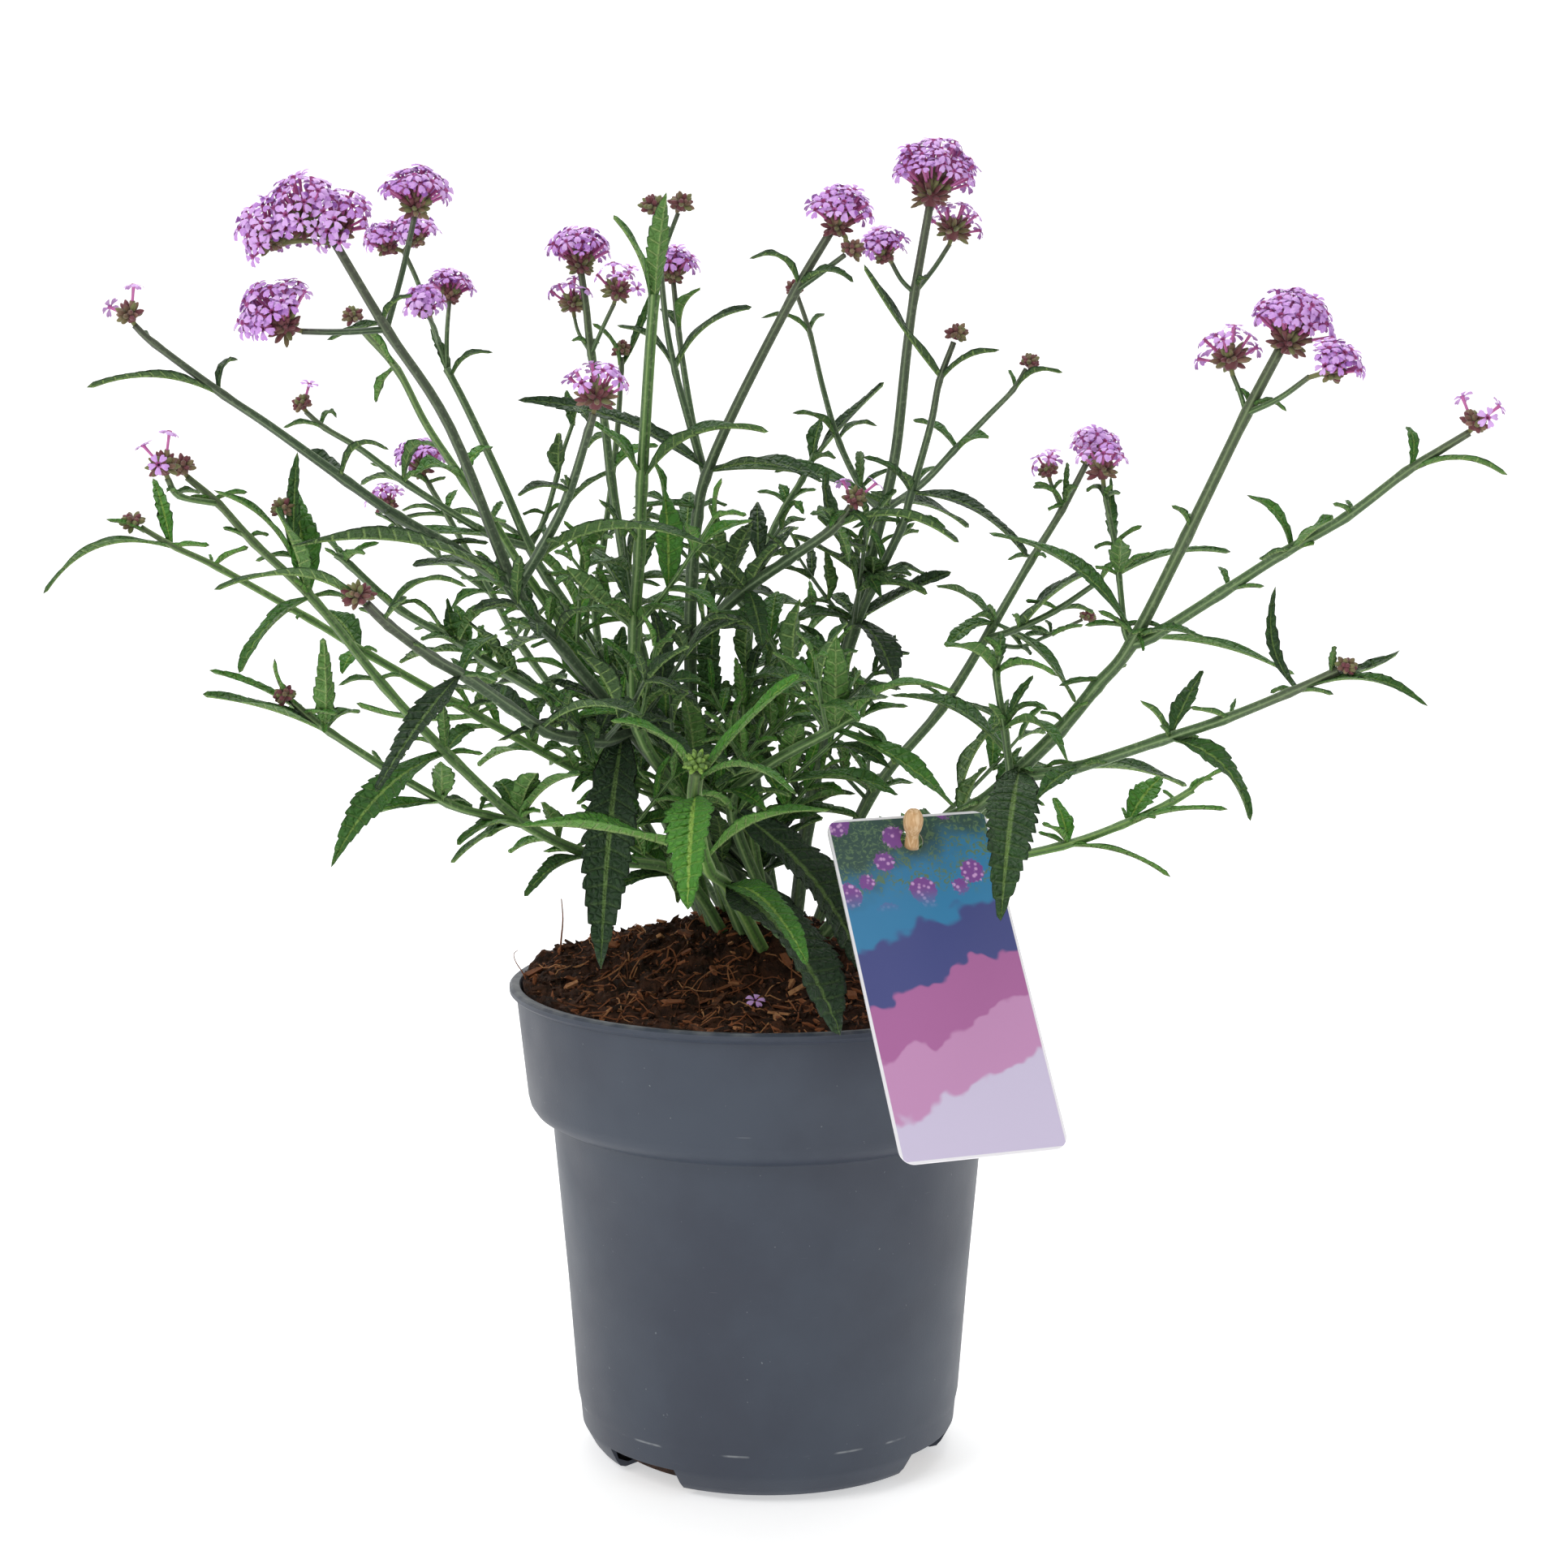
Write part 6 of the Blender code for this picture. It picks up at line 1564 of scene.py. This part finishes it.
def card_finish():
    """The printed face: rosettes on green above, then bands of blue, indigo, rose and pale lilac.

    Its edge and its back are plain.
    """
    finish = Finish("printed_card", roughness=0.34, specular=0.5)
    x = finish.mark("print_x")
    y = finish.minus(2 * LABEL_HOLE_INSET - LABEL_LENGTH, finish.mark("print_y"))
    flat = finish.node("ShaderNodeCombineXYZ", {0: x, 1: y, 2: 0.0}).outputs[0]
    level = finish.plus(y, finish.wander(BAND_DRIFT, 0.07, 2, flat))
    level = finish.plus(level, finish.times(x, BAND_SLOPE))
    colour = srgb(*CARD_PAPER)
    for start, end, tint in CARD_BANDS:
        colour = finish.mix(finish.step(level, start, end), colour, srgb(*tint))
    blades = finish.step(finish.noise(0.35, 4, place=flat, distortion=2.0), 0.5, 0.62)
    leafy = finish.times(blades, finish.step(y, *LEAFY_LEVELS))
    colour = finish.mix(leafy, colour, srgb(96, 124, 92))
    wobble = finish.times(finish.noise(0.9, 2, place=flat), 0.22)
    near = finish.plus(finish.cells(0.075, "F1", place=flat), wobble)
    rosette = finish.times(finish.step(near, 0.5, 0.46), finish.step(y, *ROSETTE_LEVELS))
    dots = finish.step(finish.cells(0.55, "F1", place=flat), 0.2, 0.5)
    bloom = finish.mix(dots, srgb(206, 160, 212), srgb(128, 76, 150))
    colour = finish.mix(rosette, colour, bloom)
    edges = []
    middle = finish.plus(y, LABEL_LENGTH / 2 - LABEL_HOLE_INSET)
    for along, size in ((x, LABEL_WIDTH), (middle, LABEL_LENGTH)):
        away = finish.calc("ABSOLUTE", along)
        edges.append(finish.step(away, size / 2 - CARD_RIM[0], size / 2 - CARD_RIM[1]))
    colour = finish.mix(finish.calc("MAXIMUM", *edges), colour, srgb(238, 236, 240))
    finish.colour(finish.mix(finish.mark("front"), srgb(232, 230, 234), colour))
    finish.rough(0.28, 0.12, 0.5, 2, flat)
    finish.bump(finish.noise(0.8, 2, place=flat), 0.00005, 0.3)
    return finish.material


# The pot, the soil, the label and the pick


def turned_piece(profile, sides):
    """A shell turned from a closed profile of (radius, height)."""
    form = Form()
    corners, faces = turned_shape(profile, sides)
    form.add(corners, [faces])
    return form


def slot_cutter(angle):
    """A rounded block that cuts one drain slot out of the pot's foot."""
    bpy.ops.mesh.primitive_cube_add(size=1)
    slot = bpy.context.object
    reach = DRAIN_OUTER_RADIUS - DRAIN_INNER_RADIUS
    slot.scale = (DRAIN_WIDTH * MM, reach * MM, 2 * DRAIN_HEIGHT * MM)
    turn = Matrix.Rotation(math.radians(angle), 4, "Z")
    slot.location = turn @ vector((0, -DRAIN_INNER_RADIUS - reach / 2, 0))
    slot.rotation_euler = (0, 0, math.radians(angle))
    soften = slot.modifiers.new("soften", "BEVEL")
    soften.width = DRAIN_CORNER * MM
    soften.segments = 3
    bpy.context.scene.collection.objects.unlink(slot)
    return slot


def make_pot(material):
    """The turned shell with its four drain slots cut out of the foot."""
    profile = POT_OUTSIDE + [(0.01, 0), (0.01, POT_INSIDE[0][1])] + POT_INSIDE + [POT_OUTSIDE[0]]
    pot = turned_piece(profile, POT_SIDES).piece("pot_shell", [material])
    weld = pot.modifiers.new("weld", "WELD")
    weld.merge_threshold = POT_WELD * MM
    cutters = bpy.data.collections.new("slot_cutters")
    slots = [slot_cutter(angle) for angle in DRAIN_ANGLES]
    for slot in slots:
        cutters.objects.link(slot)
    bpy.context.scene.collection.children.link(cutters)
    cut = pot.modifiers.new("slots", "BOOLEAN")
    cut.operation = "DIFFERENCE"
    cut.operand_type = "COLLECTION"
    cut.collection = cutters
    cut.solver = "EXACT"
    bpy.context.view_layer.update()
    graph = bpy.context.evaluated_depsgraph_get()
    pot.data = bpy.data.meshes.new_from_object(pot.evaluated_get(graph))
    pot.modifiers.clear()
    pot.data.shade_smooth()
    pot.data.set_sharp_from_angle(angle=math.radians(POT_SHARP_ANGLE))
    for slot in slots:
        bpy.data.objects.remove(slot, do_unlink=True)
    bpy.data.collections.remove(cutters)
    return dress(pot, "pot_plastic", "pot")


def soil_height(x, y):
    """The top of the soil at a place: a low mound with lumps, heaped up on the left behind."""
    radius = math.hypot(x, y)
    across = (x - HEAP_PLACE[0]) / HEAP_SPREAD[0]
    deep = (y - HEAP_PLACE[1]) / HEAP_SPREAD[1]
    heap = HEAP_HEIGHT * math.exp(-across ** 2 - deep ** 2) + SOIL_TILT * (1 - x / 90)
    mound = (SOIL_CROWN_HEIGHT - SOIL_EDGE_HEIGHT) * math.exp(-(radius / SOIL_CROWN_SPREAD) ** 2)
    lumps = SOIL_LUMP * noise.noise(Vector((x * 0.07, y * 0.07, 3.1)))
    return SOIL_EDGE_HEIGHT + mound + heap + lumps


def rough_height(x, y):
    """The soil's top with its clods and crumbs."""
    place = Vector((x, y, 7.7))
    clods = 2.6 * noise.noise(place * 0.14) + 2.2 * abs(noise.noise(place * 0.34))
    return soil_height(x, y) - 0.8 + clods + 1.1 * noise.noise(place * 0.9)


def make_soil(materials):
    """The mound that fills the pot, with crumbs, chips of bark and coir fibres on top."""
    form = Form("tone", "share")
    rows = []
    for radius in SOIL_TOP_RADIUS * np.linspace(0.004, 1, SOIL_RINGS):
        corners = ring(radius, 0, SOIL_SIDES)
        corners[:, 2] = [rough_height(x, y) for x, y, _ in corners]
        rows.append(corners)
    rows += [ring(radius, height, SOIL_SIDES) for radius, height in SOIL_WALL]
    rows.append(ring(0.2, SOIL_WALL[-1][1], SOIL_SIDES))
    faces = grid_faces(len(rows), SOIL_SIDES, closed=True)
    form.add(np.concatenate(rows), [faces], SOIL_LOOK, tone=0.3)
    draw = random.Random(5)
    scatter_crumbs(form, draw)
    scatter_chips(form, draw)
    scatter_fibres(form, draw)
    lay_litter(form)
    soil = form.piece("soil_mound", materials, smooth=False)
    return dress(soil, "soil_mix", "soil")


# What is scattered on the mound
SOIL_LOOK = 0
CHIP_LOOK = 1
LITTER_REACH = 88
CRUMB_COUNT = 5200
CRUMB_SIZE = 2.3
WOODY_SHARE = 0.62
CHIP_COUNT = 90
CHIP_LENGTH = (1.6, 5.0)
CHIP_WIDTH = (0.8, 2.0)
CHIP_THICKNESS = (0.3, 0.8)
FIBRE_COUNT = 260
FIBRE_REACH = 84
FIBRE_STEPS = 8
FIBRE_STEP = (1.2, 3.4)
FIBRE_GIRTH = (0.14, 0.34)


def spot_on_soil(draw, reach=LITTER_REACH):
    """A drawn place on the mound, at most this far from its middle."""
    radius = reach * math.sqrt(draw.random())
    turn = draw.uniform(0, 2 * math.pi)
    x = radius * math.cos(turn)
    y = radius * math.sin(turn)
    return Vector((x, y, rough_height(x, y)))


def icosahedron():
    """The corners, 1 from the middle, and the outward faces of a solid with twenty sides."""
    golden = (1 + math.sqrt(5)) / 2
    plane = [(a, b * golden, 0) for a in (-1, 1) for b in (-1, 1)]
    corners = np.array([point[-turn:] + point[:-turn] for turn in range(3) for point in plane],
                       float)
    corners /= np.linalg.norm(corners[0])
    edge = 2 / np.linalg.norm([1, golden])
    faces = []
    for face in combinations(range(len(corners)), 3):
        a, b, c = corners[list(face)]
        if max(np.linalg.norm(side) for side in (a - b, b - c, a - c)) < 1.01 * edge:
            outward = np.dot(np.cross(b - a, c - a), a) > 0
            faces.append(face if outward else face[::-1])
    return corners, faces


def scatter_crumbs(form, draw):
    """Small irregular clods lying on the mound."""
    corners, faces = icosahedron()
    for _ in range(CRUMB_COUNT):
        place = spot_on_soil(draw)
        size = draw.uniform(0.5, 1.0) ** 3 * CRUMB_SIZE
        rows = facing(jittered(Vector((0, 0, 1)), 0.8, draw), draw.uniform(0, FULL_TURN))
        jitter = np.array([[draw.uniform(0.7, 1.25)] for _ in corners])
        woody = draw.random() < WOODY_SHARE
        slender = draw.uniform(0.2, 0.5) if woody else 0.8
        lump = corners * jitter * (size * 1.5, size * slender, size * 0.4) @ rows
        form.add(lump + np.array(place), [faces], CHIP_LOOK if woody else SOIL_LOOK,
                 tone=draw.uniform(0, 0.85) ** 1.3)


def scatter_chips(form, draw):
    """Flat splinters of bark lying at odd angles."""
    box = np.array([(x, y, z) for x in (-1, 1) for y in (-1, 1) for z in (-1, 1)], float)
    faces = [(0, 1, 3, 2), (4, 6, 7, 5), (0, 4, 5, 1), (2, 3, 7, 6), (0, 2, 6, 4), (1, 5, 7, 3)]
    for _ in range(CHIP_COUNT):
        place = spot_on_soil(draw)
        length = draw.uniform(*CHIP_LENGTH)
        rows = facing(jittered(Vector((0, 0, 1)), 0.45, draw), draw.uniform(0, FULL_TURN))
        jitter = np.array([[draw.uniform(0.6, 1.2) for _ in range(3)] for _ in box])
        size = (length, draw.uniform(*CHIP_WIDTH), draw.uniform(*CHIP_THICKNESS))
        chip = box * jitter * size @ rows
        form.add(chip + np.array(place) + (0, 0, 0.7), [faces], CHIP_LOOK, tone=draw.uniform(0.2, 1))


# What lies on the soil by itself: dry stalks as routes with their thickness, and a fallen floret
DRY_STALKS = (
    ([(-78, 15, 176), (-77.5, 14, 186), (-76.6, 13, 195), (-77, 12, 203)], 0.5),
    ([(-88, -6, 173), (-90, -5, 178), (-92.5, -5, 182), (-93.5, -4, 185), (-92, -3, 186.5)], 0.3))
FALLEN_FLORET = (-4, -58)
FALLEN_SIZE = 3.6
FALLEN_LOOK = 2


def lay_litter(form):
    """Two dry stalks and a fallen floret."""
    for path, girth in DRY_STALKS:
        route = smooth_route(path, 4)[0]
        tube(form, route, np.linspace(girth, 0.4 * girth, len(route)), 6, CHIP_LOOK, tone=0.45)
    x, y = FALLEN_FLORET
    corners, faces, share = floret_petals(0.1)
    rows = facing((0.1, -0.5, 1), 0.6)
    place = np.array((x, y, rough_height(x, y) + 1.6))
    form.add(corners * FALLEN_SIZE @ rows + place, [faces], FALLEN_LOOK, tone=0.6, share=share)


def scatter_fibres(form, draw):
    """Coir fibres curled over the surface."""
    for _ in range(FIBRE_COUNT):
        place = spot_on_soil(draw, FIBRE_REACH)
        heading = draw.uniform(0, 2 * math.pi)
        curl = draw.uniform(-0.5, 0.5)
        step = draw.uniform(*FIBRE_STEP)
        lift = draw.uniform(0.2, 1.6)
        route = []
        x, y = place.x, place.y
        for i in range(FIBRE_STEPS + 1):
            high = lift * math.sin(math.pi * i / FIBRE_STEPS)
            if math.hypot(x, y) > LITTER_REACH:
                break
            route.append((x, y, rough_height(x, y) + 0.15 + high))
            heading += curl * draw.uniform(0.3, 1.2)
            x += step * math.cos(heading)
            y += step * math.sin(heading)
        if len(route) > 3:
            girth = draw.uniform(*FIBRE_GIRTH)
            tone = draw.uniform(0.25, 0.95)
            tube(form, np.array(route), np.full(len(route), girth), 5, CHIP_LOOK, tone=tone)


def card_outline(steps):
    """The label's outline and hole, in its own plane."""
    half = LABEL_WIDTH / 2
    bottom = LABEL_HOLE_INSET - LABEL_LENGTH
    corners = [(-half, bottom), (half, bottom), (half, LABEL_HOLE_INSET), (-half, LABEL_HOLE_INSET)]
    inward = [(1, 1), (-1, 1), (-1, -1), (1, -1)]
    outline = []
    for (x, y), (right, up), start in zip(corners, inward, (180, 270, 0, 90)):
        for step in range(steps + 1):
            turn = math.radians(start + 90 * step / steps)
            outline.append((x + LABEL_CORNER * (right + math.cos(turn)),
                            y + LABEL_CORNER * (up + math.sin(turn))))
    hole = [(LABEL_HOLE_RADIUS * math.cos(turn), LABEL_HOLE_RADIUS * math.sin(turn))
            for turn in np.linspace(0, 2 * math.pi, 28, endpoint=False)]
    return outline, hole


def make_label(material):
    """The card with its round corners and hole, hung on the pick."""
    curve = bpy.data.curves.new("label_card", "CURVE")
    curve.dimensions = "2D"
    curve.fill_mode = "BOTH"
    curve.extrude = LABEL_THICKNESS / 2 * MM
    for points in card_outline(8):
        spline = curve.splines.new("POLY")
        spline.points.add(len(points) - 1)
        for point, (x, y) in zip(spline.points, points):
            point.co = (x * MM, y * MM, 0, 1)
        spline.use_cyclic_u = True
    drawn = add_piece("label_outline", curve)
    bpy.context.view_layer.update()
    graph = bpy.context.evaluated_depsgraph_get()
    mesh = bpy.data.meshes.new_from_object(drawn.evaluated_get(graph))
    bpy.data.objects.remove(drawn, do_unlink=True)
    flat = np.zeros(len(mesh.vertices) * 3, np.float32)
    mesh.vertices.foreach_get("co", flat)
    x, y, z = (flat.reshape(-1, 3) / MM).T
    for name, values in (("print_x", x), ("print_y", y), ("front", z > 0)):
        layer = mesh.attributes.new(name, "FLOAT", "POINT")
        layer.data.foreach_set("value", np.ascontiguousarray(values, np.float32))
    lean = Matrix.Rotation(math.radians(90 - LABEL_LEAN), 4, "X")
    swing = Matrix.Rotation(math.radians(LABEL_SWING), 4, "Y")
    turn = Matrix.Rotation(math.radians(LABEL_TURN), 4, "Y")
    mesh.transform(Matrix.Translation(vector(LABEL_HOLE_PLACE)) @ swing @ lean @ turn)
    mesh.materials.clear()
    mesh.materials.append(material)
    return dress(add_piece("label_card", mesh), "label_card", "label")


def make_pick(material):
    """The turned wooden pick with its domed head."""
    axis = Vector(PICK_TOP) - Vector(PICK_FOOT)
    profile = PICK_PROFILE + [(2.5, 9 - axis.length), (0.05, -axis.length)]
    pick = turned_piece(profile, PICK_SIDES).piece("label_pick_wood", [material])
    turn = axis.to_track_quat("Z", "Y").to_matrix().to_4x4()
    pick.data.transform(Matrix.Translation(vector(PICK_TOP)) @ turn)
    return dress(pick, "pick_wood", "label_pick")


# The shoots and heads

# Leaves shorter than the first are fresher than their shoot, and leaves wider than the second are
# old and dark
YOUNG_LEAF_LENGTH = 24
YOUNG_LEAF_TONE = 0.14
OLD_LEAF_WIDTH = 19
OLD_LEAF_TONE = -0.7
# The shoot whose closed head is still green
GREEN_BUD_SHOOT = "front"


def leaf_age(leaf):
    if leaf.width > OLD_LEAF_WIDTH:
        return OLD_LEAF_TONE
    return YOUNG_LEAF_TONE if Vector(leaf.reach).length < YOUNG_LEAF_LENGTH else 0.0


def make_shoots(materials, shapes):
    """One piece for each shoot: its stalks, leaves and closed buds."""
    by_stem = {}
    stems, settled = settled_leaves()
    for stem_number, number, root, leaf in settled:
        by_stem.setdefault(stem_number, []).append((number, root, leaf))
    forms = {}
    green_shapes = HeadShapes(LEAF_LOOK)
    draw = random.Random(11)
    for stem_number, stem in enumerate(stems):
        form = forms.setdefault(stem.plant, Form(*SHOOT_MARKS, "share"))
        tone = SHOOT_TONE.get(stem.plant, PLAIN_TONE)
        leaves = by_stem.get(stem_number, [])
        stalk(form, stem, tone, sorted({leaf.knot for _, _, leaf in leaves}))
        for number, root, leaf in leaves:
            blade(form, root, leaf, number, tone + leaf_age(leaf) + draw.uniform(-0.2, 0.2))
        if stem.head is not None and stem.head.kind == "buds":
            buds = green_shapes if stem.plant == GREEN_BUD_SHOOT else shapes
            closed_head(form, stem, buds, random.Random(100 + stem_number))
    for plant, form in forms.items():
        shoot = form.piece("shoot_" + plant + "_fine", materials)
        dress(shoot, "leafy_green", "shoot_" + plant)


def closed_head(form, stem, shapes, draw):
    """A closed head of buds on a stem's tip."""
    axis, upright, side, other = head_frame(stem)
    size = stem.head.size
    centre = Vector(stem.path[-1]) + axis * (0.75 * size)
    calyx_ball(form, shapes, centre, (axis, side, other), size, round(14 + 3 * size), 125, draw)


def make_heads(materials, shapes):
    """One piece for each open head, numbered within its shoot as the nodes are."""
    counts = {}
    for number, stem in enumerate(STEMS):
        if not is_open(stem.head):
            continue
        counts[stem.plant] = counts.get(stem.plant, 0) + 1
        name = f"head_{stem.plant}_{counts[stem.plant]}"
        form = Form(*HEAD_MARKS)
        make_head = slim_head if stem.head.kind in ("cup", "bud") else dome_head
        make_head(form, stem, shapes, random.Random(300 + number))
        dress(form.piece(name + "_fine", materials), "petal_lilac", name)


# The studio


# The backdrop's profile as (depth, height) and half its width, in millimetres
SWEEP = ((-3000, 0), (500, 0), (1200, 30), (1800, 180), (2300, 520), (2600, 1100), (2700, 1900),
         (2720, 4600))
SWEEP_HALF_WIDTH = 3600
SWEEP_GLOW = 0.5
AIR_STRENGTH = 0.45
# The lamps, all turned to one target: each one's name, place, size and power, in metres and watts
LAMP_TARGET = (0, 0, 0.27)
LAMPS = (("key", (-1.5, -1.3, 1.8), 1.1, 24), ("fill", (1.6, -1.5, 1.0), 1.4, 5),
         ("top", (0.2, 0.4, 2.1), 1.4, 13), ("back_wash", (0.0, 0.9, 1.9), 1.2, 7))


def make_backdrop():
    """A pale sweep that is floor and background."""
    backdrop = Finish("studio_white", roughness=0.9, specular=0.1)
    backdrop.colour(srgb(232, 232, 232))
    backdrop.shader.inputs["Emission Color"].default_value = (1, 1, 1, 1)
    backdrop.shader.inputs["Emission Strength"].default_value = SWEEP_GLOW
    route, _ = smooth_route([(0, y, z) for y, z in SWEEP], 8)
    sides = [route + (x, 0, 0) for x in (-SWEEP_HALF_WIDTH, SWEEP_HALF_WIDTH)]
    form = Form()
    form.add(np.stack(sides, axis=1), [grid_faces(len(route), 2)])
    form.piece("studio_sweep", [backdrop.material])


def make_lights():
    """Soft light from all around and four large lamps."""
    world = bpy.data.worlds.new("studio_air")
    world.use_nodes = True
    air = world.node_tree.nodes["Background"]
    air.inputs["Color"].default_value = (1, 1, 1, 1)
    air.inputs["Strength"].default_value = AIR_STRENGTH
    bpy.context.scene.world = world
    for name, place, size, power in LAMPS:
        lamp = bpy.data.lights.new(name, "AREA")
        lamp.size = size
        lamp.energy = power
        holder = add_piece(name, lamp)
        holder.location = place
        way = Vector(LAMP_TARGET) - Vector(place)
        holder.rotation_euler = way.to_track_quat("-Z", "Y").to_euler()


def make_camera():
    """The camera at the photograph's place and viewing angle."""
    camera = bpy.data.cameras.new("camera")
    camera.sensor_width = SENSOR_WIDTH
    camera.lens = FOCAL_PIXELS / PHOTO_PIXELS * SENSOR_WIDTH
    holder = add_piece("camera", camera)
    holder.location = CAMERA_PLACE
    holder.rotation_euler = (math.pi / 2 - CAMERA_DROP, 0, 0)
    bpy.context.scene.camera = holder
    bpy.context.scene.view_settings.view_transform = "Standard"


calyx = calyx_finish()
make_pot(pot_finish())
petal = petal_finish()
make_soil([soil_finish(), chip_finish(), petal])
make_label(card_finish())
make_pick(wood_finish())
make_shoots([leaf_finish(), stalk_finish(), calyx], HeadShapes(CALYX_LOOK))
make_heads([petal, tube_finish(), calyx], HeadShapes(HEAD_CALYX))
make_backdrop()
make_lights()
make_camera()
